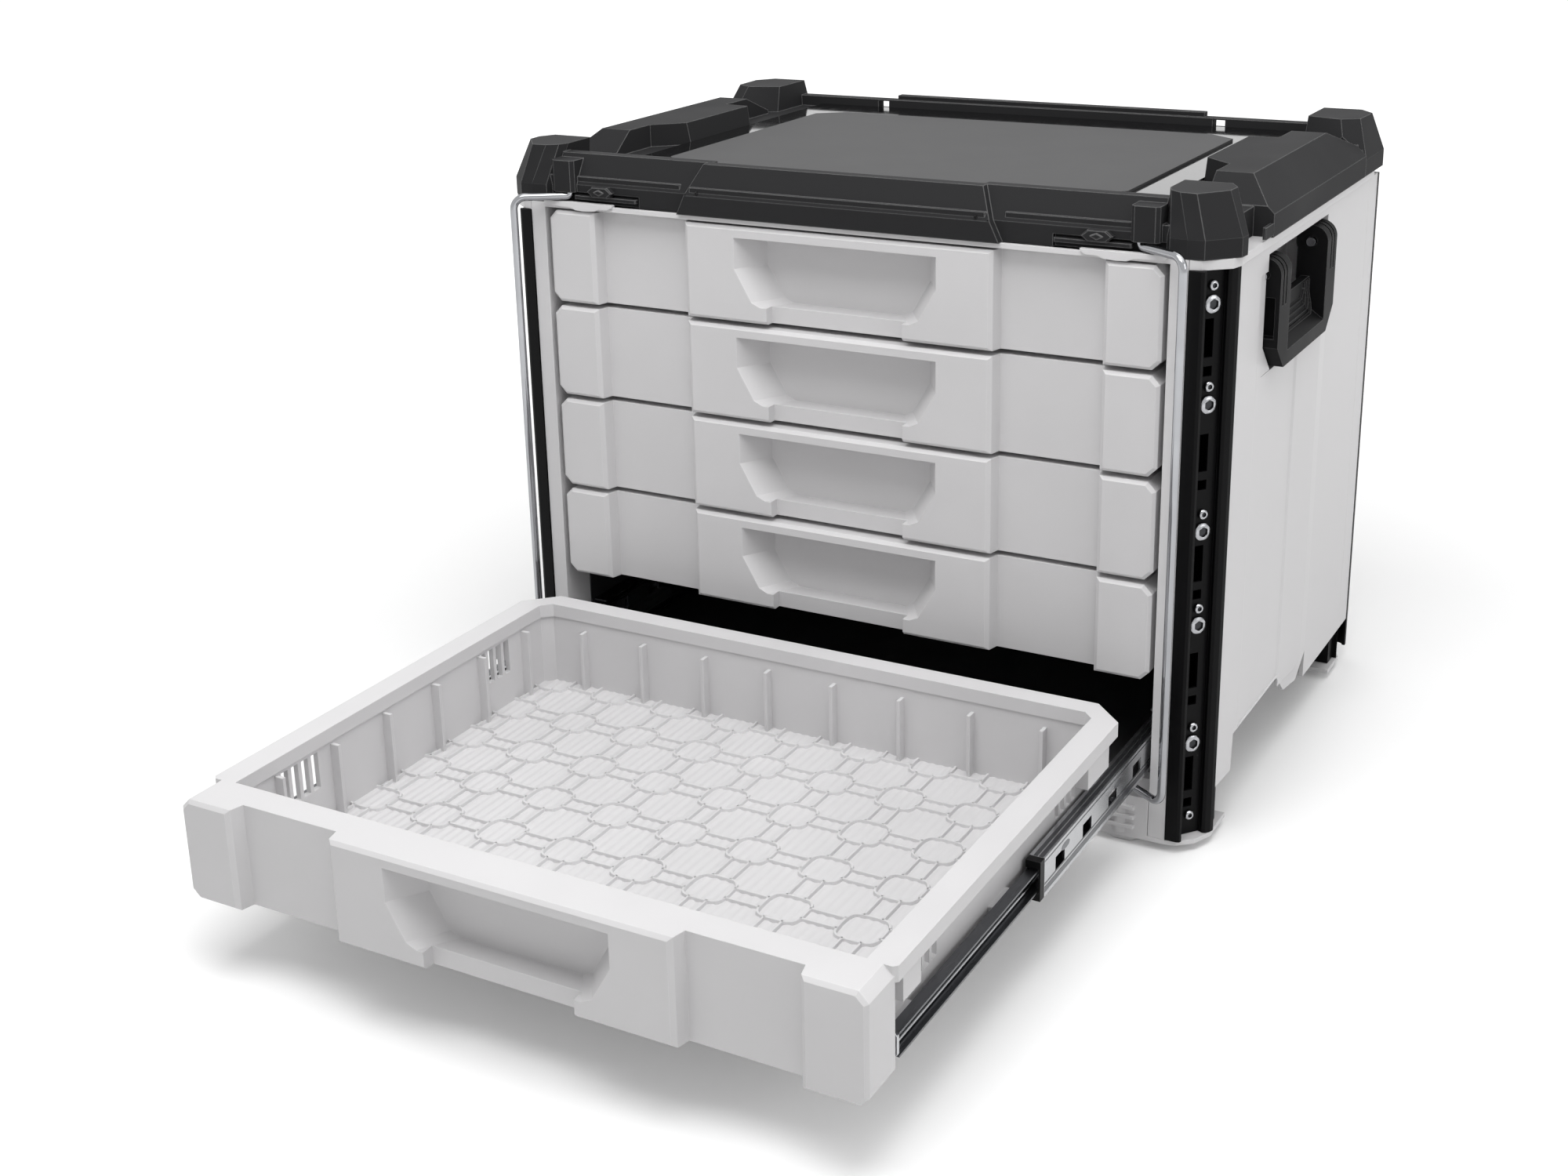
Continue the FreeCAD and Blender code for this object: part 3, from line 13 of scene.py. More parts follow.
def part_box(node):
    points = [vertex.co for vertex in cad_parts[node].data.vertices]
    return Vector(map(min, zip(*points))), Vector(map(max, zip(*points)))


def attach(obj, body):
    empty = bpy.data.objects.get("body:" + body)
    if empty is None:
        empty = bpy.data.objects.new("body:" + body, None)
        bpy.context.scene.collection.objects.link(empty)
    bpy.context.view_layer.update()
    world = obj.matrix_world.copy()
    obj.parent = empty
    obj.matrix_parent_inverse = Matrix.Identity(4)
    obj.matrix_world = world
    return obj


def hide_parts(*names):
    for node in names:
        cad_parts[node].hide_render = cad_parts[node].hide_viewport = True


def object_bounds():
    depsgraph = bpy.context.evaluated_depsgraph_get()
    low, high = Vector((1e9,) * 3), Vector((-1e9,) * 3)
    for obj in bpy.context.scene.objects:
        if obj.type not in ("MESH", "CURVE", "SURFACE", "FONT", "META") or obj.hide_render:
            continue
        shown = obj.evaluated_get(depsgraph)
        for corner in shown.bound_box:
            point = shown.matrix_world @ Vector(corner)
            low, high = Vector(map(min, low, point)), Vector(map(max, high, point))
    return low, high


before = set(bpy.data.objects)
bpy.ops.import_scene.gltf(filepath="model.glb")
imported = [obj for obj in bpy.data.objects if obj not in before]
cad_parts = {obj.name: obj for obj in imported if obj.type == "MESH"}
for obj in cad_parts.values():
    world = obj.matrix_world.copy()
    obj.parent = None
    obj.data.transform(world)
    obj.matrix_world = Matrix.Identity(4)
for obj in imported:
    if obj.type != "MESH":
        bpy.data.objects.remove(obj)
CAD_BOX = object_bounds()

LOG = logging.getLogger("drawer_box")
MM = 0.001
DRAWERS = 5
# The level direction that each front post's sloping face looks along.
POST_FACE_OUT = (0.7815, -0.6239)
# Soft noise mostly lies between these values.
NOISE_LOW, NOISE_HIGH = 0.3, 0.7
Socket = bpy.types.NodeSocket
Array = np.ndarray


# ---------------------------------------------------------------------------
# Shader building
# ---------------------------------------------------------------------------
def linear(code: str) -> tuple[float, float, float, float]:
    """Turn an sRGB hex colour into linear RGBA.

    Args:
        code: six hex digits after a hash sign.

    Returns:
        Linear red, green, blue and an alpha of 1.
    """
    levels = [int(code[k:k + 2], 16) / 255 for k in (1, 3, 5)]
    red, green, blue = (v / 12.92 if v <= 0.04045 else ((v + 0.055) / 1.055) ** 2.4 for v in levels)
    return red, green, blue, 1.0


def wire(tree: bpy.types.NodeTree, node: bpy.types.Node, sockets: dict) -> None:
    """Fill a node's inputs.

    Args:
        tree: the node's tree.
        node: the node.
        sockets: input name or number to a value, or to an output socket that is linked to it.
    """
    for name, value in sockets.items():
        if isinstance(value, Socket):
            tree.links.new(value, node.inputs[name])
        else:
            node.inputs[name].default_value = value


def add(tree: bpy.types.NodeTree, kind: str, sockets: dict | None = None,
        **settings) -> bpy.types.Node:
    """Add one node to a tree.

    Args:
        tree: the node tree.
        kind: Blender's type name of the node.
        sockets: what its inputs hold or are linked to.
        settings: the node's own settings.

    Returns:
        The new node.
    """
    made = tree.nodes.new(kind)
    for name, value in settings.items():
        setattr(made, name, value)
    wire(tree, made, sockets or {})
    return made


@dataclass(frozen=True)
class Finish:
    """What every finish of the case has: a colour, a gloss and softly rounded edges.

    The IOR of 1.5 is typical of the plastics, the rubber and the coatings here, which lie between
    1.48 and 1.54. It is also the default, which the metals keep.
    """

    name: str
    colour: str
    roughness: float
    edge_mm: float = 0.5
    specular: float = 0.5
    ior: float = 1.5

    def start(self) -> tuple[bpy.types.Material, bpy.types.NodeTree, Socket, Socket]:
        """Begin a material.

        Returns:
            The material, its tree, its object coordinates, and the surface's direction with the
            sharp edges rounded off.
        """
        material = bpy.data.materials.new(self.name)
        material.use_nodes = True
        tree = material.node_tree
        tree.nodes.clear()
        place = add(tree, "ShaderNodeTexCoord").outputs["Object"]
        rounded = add(tree, "ShaderNodeBevel", {"Radius": self.edge_mm * MM}, samples=4)
        return material, tree, place, rounded.outputs["Normal"]

    def patches(self, tree: bpy.types.NodeTree, place: Socket, size_mm: float, low: float,
                high: float, detail: float = 2.0) -> Socket:
        """A value that wanders in soft patches.

        Args:
            tree: the node tree.
            place: the coordinates.
            size_mm: about how wide a patch is.
            low: the least value.
            high: the greatest value.
            detail: how many finer layers the patches have.

        Returns:
            The value's socket.
        """
        noise = add(tree, "ShaderNodeTexNoise",
                    {"Vector": place, "Scale": 1 / (size_mm * MM), "Detail": detail})
        return add(tree, "ShaderNodeMapRange",
                   {"Value": noise.outputs["Fac"], "From Min": NOISE_LOW, "From Max": NOISE_HIGH,
                    "To Min": low, "To Max": high}).outputs["Result"]

    def close(self, tree: bpy.types.NodeTree, sockets: dict) -> None:
        """Add the main shader and the output.

        Args:
            tree: the node tree.
            sockets: the shader's inputs that differ from the finish's own plain numbers.
        """
        shader = add(tree, "ShaderNodeBsdfPrincipled",
                     {"Base Color": linear(self.colour), "Roughness": self.roughness,
                      "IOR": self.ior, "Specular IOR Level": self.specular})
        wire(tree, shader, sockets)
        add(tree, "ShaderNodeOutputMaterial", {"Surface": shader.outputs["BSDF"]})


@dataclass(frozen=True)
class MouldedPlastic(Finish):
    """Injection-moulded plastic: a spark-eroded grain, slow changes of gloss where the melt cooled,
    and a painted highlight: along each edge the colour is mixed towards white, so that thin light
    lines stand round each facet.

    The grain is really about 0.1 mm across, too fine to show, so it is drawn ten times as coarse.
    """

    # How far each edge's colour is mixed towards white: a painted highlight line.
    painted_edge_highlight: float = 0.1
    grain_mm: float = 0.9
    grain_depth_mm: float = 0.02
    grain_strength: float = 0.6
    cloud_mm: float = 70.0
    cloud_tint: float = 0.025
    gloss: tuple[float, float] = (-0.04, 0.05)
    edge_cosines: tuple[float, float] = (0.99, 0.9)

    def build(self) -> bpy.types.Material:
        """Make the material: an edge is found where the rounded and the flat direction part, by the
        cosine of the angle between them, and there the colour is mixed towards white as a painted
        highlight.

        Returns:
            The material.
        """
        material, tree, place, rounded = self.start()
        grain = add(tree, "ShaderNodeTexNoise",
                    {"Vector": place, "Scale": 1 / (self.grain_mm * MM), "Detail": 2.0})
        bump = add(tree, "ShaderNodeBump",
                   {"Height": grain.outputs["Fac"], "Distance": self.grain_depth_mm * MM,
                    "Strength": self.grain_strength, "Normal": rounded})
        flat = add(tree, "ShaderNodeNewGeometry").outputs["True Normal"]
        agree = add(tree, "ShaderNodeVectorMath", {0: rounded, 1: flat}, operation="DOT_PRODUCT")
        edge = add(tree, "ShaderNodeMapRange",
                   {"Value": agree.outputs["Value"], "From Min": self.edge_cosines[0],
                    "From Max": self.edge_cosines[1], "To Max": self.painted_edge_highlight})
        tint = self.patches(tree, place, self.cloud_mm, 1 - self.cloud_tint, 1 + self.cloud_tint)
        body = add(tree, "ShaderNodeHueSaturation", {"Color": linear(self.colour), "Value": tint})
        # Painted highlight: the colour goes towards white along the edges.
        shaded = add(tree, "ShaderNodeMix",
                     {"Factor": edge.outputs["Result"], "A": body.outputs["Color"],
                      "B": (1, 1, 1, 1)}, data_type="RGBA")
        dull, bright = self.gloss
        self.close(tree, {"Base Color": shaded.outputs["Result"], "Normal": bump.outputs["Normal"],
                          "Roughness": self.patches(tree, place, self.cloud_mm,
                                                    self.roughness + dull,
                                                    self.roughness + bright)})
        return material


@dataclass(frozen=True)
class GlossySheet(Finish):
    """Polished black sheet: a hard coat over a slightly wavy face, with fine polishing haze.

    The haze is really made of scratches far under a millimetre wide, so it is drawn in soft patches
    that do show.
    """

    coat: float = 0.6
    coat_roughness: float = 0.05
    wave_mm: float = 55.0
    wave_depth_mm: float = 0.06
    haze_mm: float = 6.0
    haze: float = 0.08

    def build(self) -> bpy.types.Material:
        """Make the material.

        Returns:
            The material.
        """
        material, tree, place, rounded = self.start()
        wave = add(tree, "ShaderNodeTexNoise",
                   {"Vector": place, "Scale": 1 / (self.wave_mm * MM), "Detail": 0.0})
        bump = add(tree, "ShaderNodeBump",
                   {"Height": wave.outputs["Fac"], "Distance": self.wave_depth_mm * MM,
                    "Normal": rounded})
        self.close(tree, {"Normal": bump.outputs["Normal"], "Coat Weight": self.coat,
                          "Coat Roughness": self.coat_roughness,
                          "Roughness": self.patches(tree, place, self.haze_mm, self.roughness,
                                                    self.roughness + self.haze, 4.0)})
        return material


@dataclass(frozen=True)
class SoftMat(Finish):
    """Calendered rubber mat: a leathery cell pattern that breaks the light, and a dull sheen.

    The cells are really about 0.7 mm wide; they are drawn twice as coarse so that they show.
    """

    cell_mm: float = 1.4
    cell_depth_mm: float = 0.05
    cell_strength: float = 0.5
    cloud_mm: float = 30.0
    cloud_tint: float = 0.06

    def build(self) -> bpy.types.Material:
        """Make the material.

        Returns:
            The material.
        """
        material, tree, place, rounded = self.start()
        cells = add(tree, "ShaderNodeTexVoronoi",
                    {"Vector": place, "Scale": 1 / (self.cell_mm * MM)})
        bump = add(tree, "ShaderNodeBump",
                   {"Height": cells.outputs["Distance"], "Distance": self.cell_depth_mm * MM,
                    "Strength": self.cell_strength, "Normal": rounded})
        tint = self.patches(tree, place, self.cloud_mm, 1 - self.cloud_tint,
                            1 + self.cloud_tint, 3.0)
        body = add(tree, "ShaderNodeHueSaturation", {"Color": linear(self.colour), "Value": tint})
        self.close(tree, {"Base Color": body.outputs["Color"], "Normal": bump.outputs["Normal"]})
        return material


@dataclass(frozen=True)
class PowderCoat(Finish):
    """Black powder coat on pressed metal: orange peel about 2 mm wide that ripples its
    highlights."""

    peel_mm: float = 1.8
    peel_depth_mm: float = 0.05
    peel_strength: float = 0.5
    cloud_mm: float = 40.0
    gloss: tuple[float, float] = (-0.04, 0.06)

    def build(self) -> bpy.types.Material:
        """Make the material.

        Returns:
            The material.
        """
        material, tree, place, rounded = self.start()
        peel = add(tree, "ShaderNodeTexNoise",
                   {"Vector": place, "Scale": 1 / (self.peel_mm * MM), "Detail": 1.0})
        bump = add(tree, "ShaderNodeBump",
                   {"Height": peel.outputs["Fac"], "Distance": self.peel_depth_mm * MM,
                    "Strength": self.peel_strength, "Normal": rounded})
        dull, bright = self.gloss
        self.close(tree, {"Normal": bump.outputs["Normal"],
                          "Roughness": self.patches(tree, place, self.cloud_mm,
                                                    self.roughness + dull,
                                                    self.roughness + bright)})
        return material


@dataclass(frozen=True)
class RolledSteel(Finish):
    """Metal that was rolled, drawn or turned: fine lines along its run, and a broken gloss.

    The lines are really a few hundredths of a millimetre apart, so they are drawn about ten times
    as coarse. Run scales the coordinates, and its small number is the way the lines run.
    """

    line_mm: float = 0.35
    run: tuple[float, float, float] = (1.0, 0.02, 1.0)
    spread: float = 0.12
    depth_mm: float = 0.008
    cloud_mm: float = 18.0
    cloud_tint: float = 0.05

    def build(self) -> bpy.types.Material:
        """Make the material.

        Returns:
            The material.
        """
        material, tree, place, rounded = self.start()
        mapping = add(tree, "ShaderNodeMapping", {"Vector": place, "Scale": self.run})
        drawn = mapping.outputs["Vector"]
        lines = add(tree, "ShaderNodeTexNoise",
                    {"Vector": drawn, "Scale": 1 / (self.line_mm * MM), "Detail": 3.0})
        bump = add(tree, "ShaderNodeBump",
                   {"Height": lines.outputs["Fac"], "Distance": self.depth_mm * MM,
                    "Normal": rounded})
        tint = self.patches(tree, place, self.cloud_mm, 1 - self.cloud_tint, 1 + self.cloud_tint)
        body = add(tree, "ShaderNodeHueSaturation", {"Color": linear(self.colour), "Value": tint})
        self.close(tree, {"Base Color": body.outputs["Color"], "Normal": bump.outputs["Normal"],
                          "Metallic": 1.0,
                          "Roughness": self.patches(tree, drawn, self.line_mm, self.roughness,
                                                    self.roughness + self.spread, 3.0)})
        return material


class Finishes(Enum):
    """The finishes of the case, each with what it gives the eye."""

    # Pale satin shell: soft broad highlights, and a painted highlight line along each edge.
    CASE = MouldedPlastic("abs_light_gray_moulded", "#D2D1D2", 0.42, painted_edge_highlight=0.3)
    # The drawer floors' flutes: the same pale satin, with edges too fine for the painted highlight
    # line to show.
    FLUTE = MouldedPlastic("abs_light_gray_fluted_moulded", "#CDCCCD", 0.45, edge_mm=0.05)
    # Drawers a shade darker and duller than the shell round them, with a painted highlight line
    # along each edge.
    DRAWER = MouldedPlastic("abs_light_gray_drawer_moulded", "#CDCCCD", 0.45, painted_edge_highlight=0.3)
    # Dull charcoal with a coarse grain: the glass fibre takes the gloss off, and a faint painted
    # highlight line runs along each edge.
    LID = MouldedPlastic("nylon_black_glass_filled_moulded", "#2A2A2B", 0.62, edge_mm=0.8,
                         specular=0.06, painted_edge_highlight=0.16, grain_mm=1.1, grain_depth_mm=0.04)
    # Near-black grip, with a slight painted highlight along its edges.
    HANDLE = MouldedPlastic("nylon_black_grip_moulded", "#101011", 0.52, specular=0.08,
                            painted_edge_highlight=0.12, grain_mm=1.0)
    # Plain dark inner walls, waxy and a little glossier than the lid.
    LINER = MouldedPlastic("polypropylene_black_liner_moulded", "#262627", 0.5, specular=0.4)
    # Small jet-black stops with a smooth, self-oiled look.
    STOP = MouldedPlastic("acetal_black_stop_moulded", "#09090A", 0.45, edge_mm=0.2, specular=0.15)
    # Black mirror in the lid, with reflections that waver slightly.
    PANEL = GlossySheet("acrylic_black_sheet_polished", "#060607", 0.06)
    # Flat mid-gray sheet that shows no clear reflection.
    MAT = SoftMat("rubber_gray_mat_calendered", "#343435", 0.62, specular=0.4)
    # Deep black posts whose few highlights ripple.
    POST = PowderCoat("steel_black_powder_coated", "#050506", 0.4, specular=0.1)
    # Cool mid-gray metal with soft streaks.
    RAIL = RolledSteel("steel_zinc_plated_rolled", "#6C6D70", 0.24, edge_mm=0.2)
    # Fresh bright zinc: nearly white streaks with little grain.
    BRIGHT_RAIL = RolledSteel("steel_zinc_plated_bright_rolled", "#B4B5B7", 0.2, edge_mm=0.2,
                              line_mm=0.2, depth_mm=0.002, spread=0.06)
    # The tracks that the balls run in: darker, for the film of oil on them.
    OILED_RAIL = RolledSteel("steel_zinc_plated_oiled_rolled", "#626366", 0.26, edge_mm=0.2)
    # Mirror-bright wire with the faint lines of drawing along its length.
    CHROME = RolledSteel("steel_chrome_plated_wire", "#9C9DA0", 0.05, edge_mm=0.2,
                         run=(1.0, 1.0, 0.02), spread=0.05, depth_mm=0.002)
    # Bright heads, evenly grained, that stand out on the black posts.
    SCREW = RolledSteel("steel_bright_screw_turned", "#A8A9AC", 0.16, edge_mm=0.12,
                        run=(1.0, 1.0, 1.0), spread=0.1)
    # Painted shade in the hollows of the screw heads: darker metal there, so that the hexagon
    # reads.
    SOCKET = RolledSteel("steel_socket_painted_shade", "#3A3B3D", 0.25, edge_mm=0.1,
                         run=(1.0, 1.0, 1.0), spread=0.1)

    def material(self) -> bpy.types.Material:
        """The finish's material, made once."""
        return bpy.data.materials.get(self.value.name) or self.value.build()


# ---------------------------------------------------------------------------
# Mesh building
# ---------------------------------------------------------------------------
def piece(name: str, vertices: Array, faces: Iterable, finish: Finishes, body: str,
          slot: str, smooth: bool = False) -> bpy.types.Object:
    """Put a finished mesh on a body.

    Args:
        name: the piece's name.
        vertices: n by 3 places in millimetres.
        faces: rows of vertex numbers.
        finish: its finish.
        body: the body that it moves with.
        slot: the record's material slot; not used.
        smooth: True for a curved face that shades smoothly.

    Returns:
        The piece's object, at the origin.
    """
    mesh = bpy.data.meshes.new(name)
    mesh.from_pydata((np.asarray(vertices) * MM).tolist(), [], [list(map(int, f)) for f in faces])
    mesh.materials.append(finish.material())
    mesh.polygons.foreach_set("use_smooth", np.full(len(mesh.polygons), smooth))
    mesh.update()
    made = bpy.data.objects.new(name, mesh)
    bpy.context.scene.collection.objects.link(made)
    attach(made, body)
    return made


def joined(parts: list[tuple[Array, Iterable]]) -> tuple[Array, list]:
    """Join several shapes into one.

    Args:
        parts: pairs of vertices and faces.

    Returns:
        All vertices, and the faces with their numbers moved up.
    """
    starts = np.cumsum([0] + [len(v) for v, _ in parts[:-1]])
    vertices = np.concatenate([v for v, _ in parts])
    faces = [[int(v) + int(start) for v in row]
             for (_, rows), start in zip(parts, starts) for row in rows]
    return vertices, faces


def copies(shape: tuple[Array, Array], moves: Array) -> tuple[Array, Array]:
    """Repeat one shape at many places.

    Args:
        shape: its vertices and faces.
        moves: m by 3 shifts; each is added to every vertex.

    Returns:
        The vertices and faces of all copies.
    """
    vertices, faces = (np.asarray(a) for a in shape)
    all_vertices = (vertices[None] + moves[:, None]).reshape(-1, 3)
    shifts = np.arange(len(moves))[:, None, None] * len(vertices)
    return all_vertices, (faces[None] + shifts).reshape(-1, faces.shape[1])


def mirrored(shape: tuple[Array, Iterable]) -> tuple[Array, list]:
    """Mirror a shape over the case's middle plane.

    Args:
        shape: its vertices and faces.

    Returns:
        Its mirror image, wound back outwards.
    """
    vertices, faces = shape
    return np.asarray(vertices, dtype=float) * [-1.0, 1.0, 1.0], [list(row)[::-1] for row in faces]


def both_sides(shape: tuple[Array, Iterable]) -> tuple[Array, list]:
    """A shape and its mirror image over the case's middle plane, as one."""
    return joined([shape, mirrored(shape)])


# The six faces of a box whose first four corners go round its foot and the others round its top.
CUBE = np.array([[0, 3, 2, 1], [4, 5, 6, 7], [0, 1, 5, 4], [1, 2, 6, 5], [2, 3, 7, 6],
                 [3, 0, 4, 7]])


def bars(starts: Array, ends: Array, base: float, top: float, height: float) -> tuple[Array, Array]:
    """Straight ribs with sloping sides.

    Each rib's section is a trapezium: half the base to either side of the line at the foot, and
    half the top to either side at the height.

    Args:
        starts: m by 3 places where the ribs start, at their feet.
        ends: m by 3 places where they end.
        base: width of the foot.
        top: width of the top.
        height: height above the foot.

    Returns:
        Vertices and faces.
    """
    along = ends - starts
    along = along / np.linalg.norm(along, axis=1, keepdims=True)
    side = np.stack([-along[:, 1], along[:, 0], np.zeros(len(along))], axis=1)
    up = np.array([0.0, 0.0, height])
    low, high = side * base / 2, side * top / 2
    corners = np.stack([starts + low, starts - low, ends - low, ends + low, starts + high + up,
                        starts - high + up, ends - high + up, ends + high + up], axis=1)
    faces = CUBE[None] + np.arange(len(starts))[:, None, None] * 8
    return corners.reshape(-1, 3), faces.reshape(-1, 4)


def skin(rings: int, count: int) -> list[list[int]]:
    """Cover a stack of rings of points: quads between neighbouring rings, and one face on each end.

    Args:
        rings: how many rings there are.
        count: points in each ring.

    Returns:
        The faces.
    """
    here = np.arange(count)
    after = np.roll(here, -1)
    faces = [here[::-1].tolist()]
    for k in range(rings - 1):
        faces += np.stack([here + k * count, after + k * count,
                           after + (k + 1) * count, here + (k + 1) * count], axis=1).tolist()
    return faces + [(here + (rings - 1) * count).tolist()]


def prism(outline: Array, low: float, high: float, axis: int,
          inset: float = 0.0) -> tuple[Array, list]:
    """Carry a flat outline along an axis, with its last edge drawn in.

    The section stays the outline from low to high less the inset, and shrinks towards its middle
    by the inset over the last step.

    Args:
        outline: n by 2 corners in the two other axes, in order.
        low: where it starts.
        high: where it ends.
        axis: 0, 1 or 2.
        inset: size of the drawn-in edge.

    Returns:
        Vertices and faces.
    """
    outline = np.asarray(outline, dtype=float)
    middle = outline.mean(axis=0)
    reach = np.linalg.norm(outline - middle, axis=1, keepdims=True)
    small = middle + (outline - middle) * (1 - inset / reach)
    levels = [(outline, low), (outline, high)] if inset == 0 else [
        (outline, low), (outline, high - math.copysign(inset, high - low)), (small, high)]
    rings = [np.insert(ring, axis, level, axis=1) for ring, level in levels]
    faces = skin(len(rings), len(outline))
    x, y = outline.T
    area = np.sum(x * np.roll(y, -1) - y * np.roll(x, -1))
    turned = (area > 0) == (high > low)
    if axis == 1:
        turned = not turned
    return np.concatenate(rings), faces if turned else [row[::-1] for row in faces]


def rectangle(low: tuple[float, float], high: tuple[float, float]) -> Array:
    """The corners of a rectangle from its lowest to its highest, in order round it."""
    return np.array([low, (high[0], low[1]), high, (low[0], high[1])])


def oval(half: tuple[float, float], steps: int) -> Array:
    """The points of an ellipse: its half widths times the cosine and the sine of even angles."""
    angle = np.linspace(0, 2 * np.pi, steps, endpoint=False)
    return np.column_stack([half[0] * np.cos(angle), half[1] * np.sin(angle)])


def lathe(radii: Array, levels: Array, steps: int = 24) -> tuple[Array, list]:
    """Turn a profile about +Z; its first and last rings are closed by one face each.

    Args:
        radii: k by steps radii, or k radii that are the same all round.
        levels: k heights.
        steps: points round the circle.

    Returns:
        Vertices and faces.
    """
    radii = np.asarray(radii, dtype=float)
    if radii.ndim == 1:
        radii = np.repeat(radii[:, None], steps, axis=1)
    angle = np.linspace(0, 2 * np.pi, steps, endpoint=False)
    rings = np.stack([radii * np.cos(angle), radii * np.sin(angle),
                      np.repeat(np.asarray(levels, dtype=float)[:, None], steps, axis=1)], axis=-1)
    return rings.reshape(-1, 3), skin(len(rings), steps)


# ---------------------------------------------------------------------------
# Drawers
# ---------------------------------------------------------------------------
@dataclass
class DrawerFloor:
    """The relief on a drawer's floor: rounded rings on a square lattice, joined by pairs of thin
    ribs, over fine flutes that run front to back."""

    number: int
    pitch: float = 41.4
    first: float = 31.9
    rows: int = 7
    columns: int = 9
    ring_half: float = 11.4
    ring_squareness: float = 3.6
    ring_width: float = 1.5
    pair_half: float = 4.9
    rib_base: float = 1.7
    rib_top: float = 0.9
    height: float = 2.0
    floor: float = 3.9
    half: float = 174.0
    fore: float = 24.0
    aft: float = 285.5
    flute_pitch: float = 5.175
    flute_height: float = 0.5
    flute_lift: float = 0.15
    flute_steps: int = 6
    ring_flare: float = 0.3  # how much wider than its nominal half width a ring's foot is
    ring_draw: float = 0.2  # and how much narrower its crest is
    sunk: float = 0.2  # how far the relief's foot lies in the floor
    overlap: float = 0.4  # how far a rib runs into the ring at its end
    least: float = 1.0  # a rib with less than this inside the walls is left out
    steps: int = 28

    def origin(self) -> Array:
        """The drawer's own origin: the bottom of its front face, in the middle."""
        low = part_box(f"drawer_{self.number}")[0]
        return np.array([0.0, low[1], low[2]]) / MM

    def centres(self) -> tuple[Array, Array]:
        """Places of the ring middles across and along the drawer."""
        across = (np.arange(self.columns) - (self.columns - 1) / 2) * self.pitch
        return across, self.first + np.arange(self.rows) * self.pitch

    def clip(self, vertices: Array) -> Array:
        """Hold every vertex inside the walls, at any height."""
        return np.clip(vertices, [-self.half, self.fore, -np.inf], [self.half, self.aft, np.inf])

    def rings(self) -> tuple[Array, Array]:
        """The rings: the path is a superellipse, |x/a|^n + |y/a|^n = 1, whose points come from the
        signed powers 2/n of cosine and sine; the section is a trapezium carried round it.

        Returns:
            Vertices and faces.
        """
        angle = np.linspace(0, 2 * np.pi, self.steps, endpoint=False)
        power = 2 / self.ring_squareness
        unit = np.stack([np.sign(f) * np.abs(f) ** power for f in (np.cos(angle), np.sin(angle))],
                        axis=1)
        ahead = np.roll(unit, -1, axis=0) - np.roll(unit, 1, axis=0)
        out = np.stack([ahead[:, 1], -ahead[:, 0]], axis=1)
        out = out / np.linalg.norm(out, axis=1, keepdims=True)
        foot, crest = self.ring_width / 2 + self.ring_flare, self.ring_width / 2 - self.ring_draw
        section = [(foot, -self.sunk), (crest, self.height), (-crest, self.height),
                   (-foot, -self.sunk)]
        loops = np.stack([np.column_stack([unit * self.ring_half + out * shift,
                                           np.full(self.steps, self.floor + level)])
                          for shift, level in section], axis=1)
        here = np.arange(self.steps * 4).reshape(self.steps, 4)
        after = np.roll(here, -1, axis=0)
        faces = np.stack([here, after, np.roll(after, -1, axis=1), np.roll(here, -1, axis=1)],
                         axis=-1)
        grid = np.stack(np.meshgrid(*self.centres(), [0.0]), axis=-1).reshape(-1, 3)
        return copies((loops.reshape(-1, 3), faces.reshape(-1, 4)), grid)

    def ribs(self) -> tuple[Array, Array]:
        """The pairs of ribs between neighbouring rings, both ways: each runs from inside one ring's
        wall to inside the next one's, and those wholly past the walls are left out.

        Returns:
            Vertices and faces.
        """
        xs, ys = self.centres()
        gap = self.ring_half - self.overlap
        level = self.floor - self.sunk
        starts, ends = [], []
        ys_out = np.append(ys[0] - self.pitch, ys)
        xs_out = np.append(xs[0] - self.pitch, xs)
        for offset in (-self.pair_half, self.pair_half):
            x, y = np.meshgrid(xs + offset, ys_out)
            flat = np.full(x.size, level)
            starts.append(np.column_stack([x.ravel(), y.ravel() + gap, flat]))
            ends.append(np.column_stack([x.ravel(), y.ravel() + self.pitch - gap, flat]))
            x, y = np.meshgrid(xs_out, ys + offset)
            flat = np.full(x.size, level)
            starts.append(np.column_stack([x.ravel() + gap, y.ravel(), flat]))
            ends.append(np.column_stack([x.ravel() + self.pitch - gap, y.ravel(), flat]))
        low = np.concatenate(starts)
        high = np.concatenate(ends)
        near, far = (f(low, high)[:, :2] for f in (np.minimum, np.maximum))
        inside = np.all((near < [self.half - self.least, self.aft - self.least])
                        & (far > [self.least - self.half, self.fore + self.least]), axis=1)
        return bars(low[inside], high[inside], self.rib_base, self.rib_top, self.height + self.sunk)

    def flutes(self) -> tuple[Array, Array]:
        """A sheet of shallow flutes: its height is the flute height times the square of the sine of
        pi x over the pitch, the same all the way along; its edges lie inside the walls.

        Returns:
            Vertices and faces.
        """
        count = int(round(2 * self.half / self.flute_pitch)) * self.flute_steps + 1
        x = np.linspace(-self.half, self.half, count)
        z = (self.floor + self.flute_lift
             + self.flute_height * np.sin(np.pi * x / self.flute_pitch) ** 2)
        rows = [np.column_stack([x, np.full(count, y), z]) for y in (self.fore, self.aft)]
        here = np.arange(count - 1)
        quads = np.stack([here, here + 1, here + 1 + count, here + count], axis=1)
        return np.concatenate(rows), quads

    def build(self) -> list[bpy.types.Object]:
        """Make the relief of this drawer.

        Returns:
            The new objects.
        """
        vertices, faces = joined([self.rings(), self.ribs()])
        sheet, rows = self.flutes()
        body = f"drawer_unit_{self.number}"
        relief = self.clip(vertices) + self.origin()
        return [piece(f"drawer_{self.number}_floor_relief", relief, faces, Finishes.DRAWER, body,
                      "drawer_plastic"),
                piece(f"drawer_{self.number}_floor_flutes", sheet + self.origin(), rows,
                      Finishes.FLUTE, body, "drawer_plastic", smooth=True)]


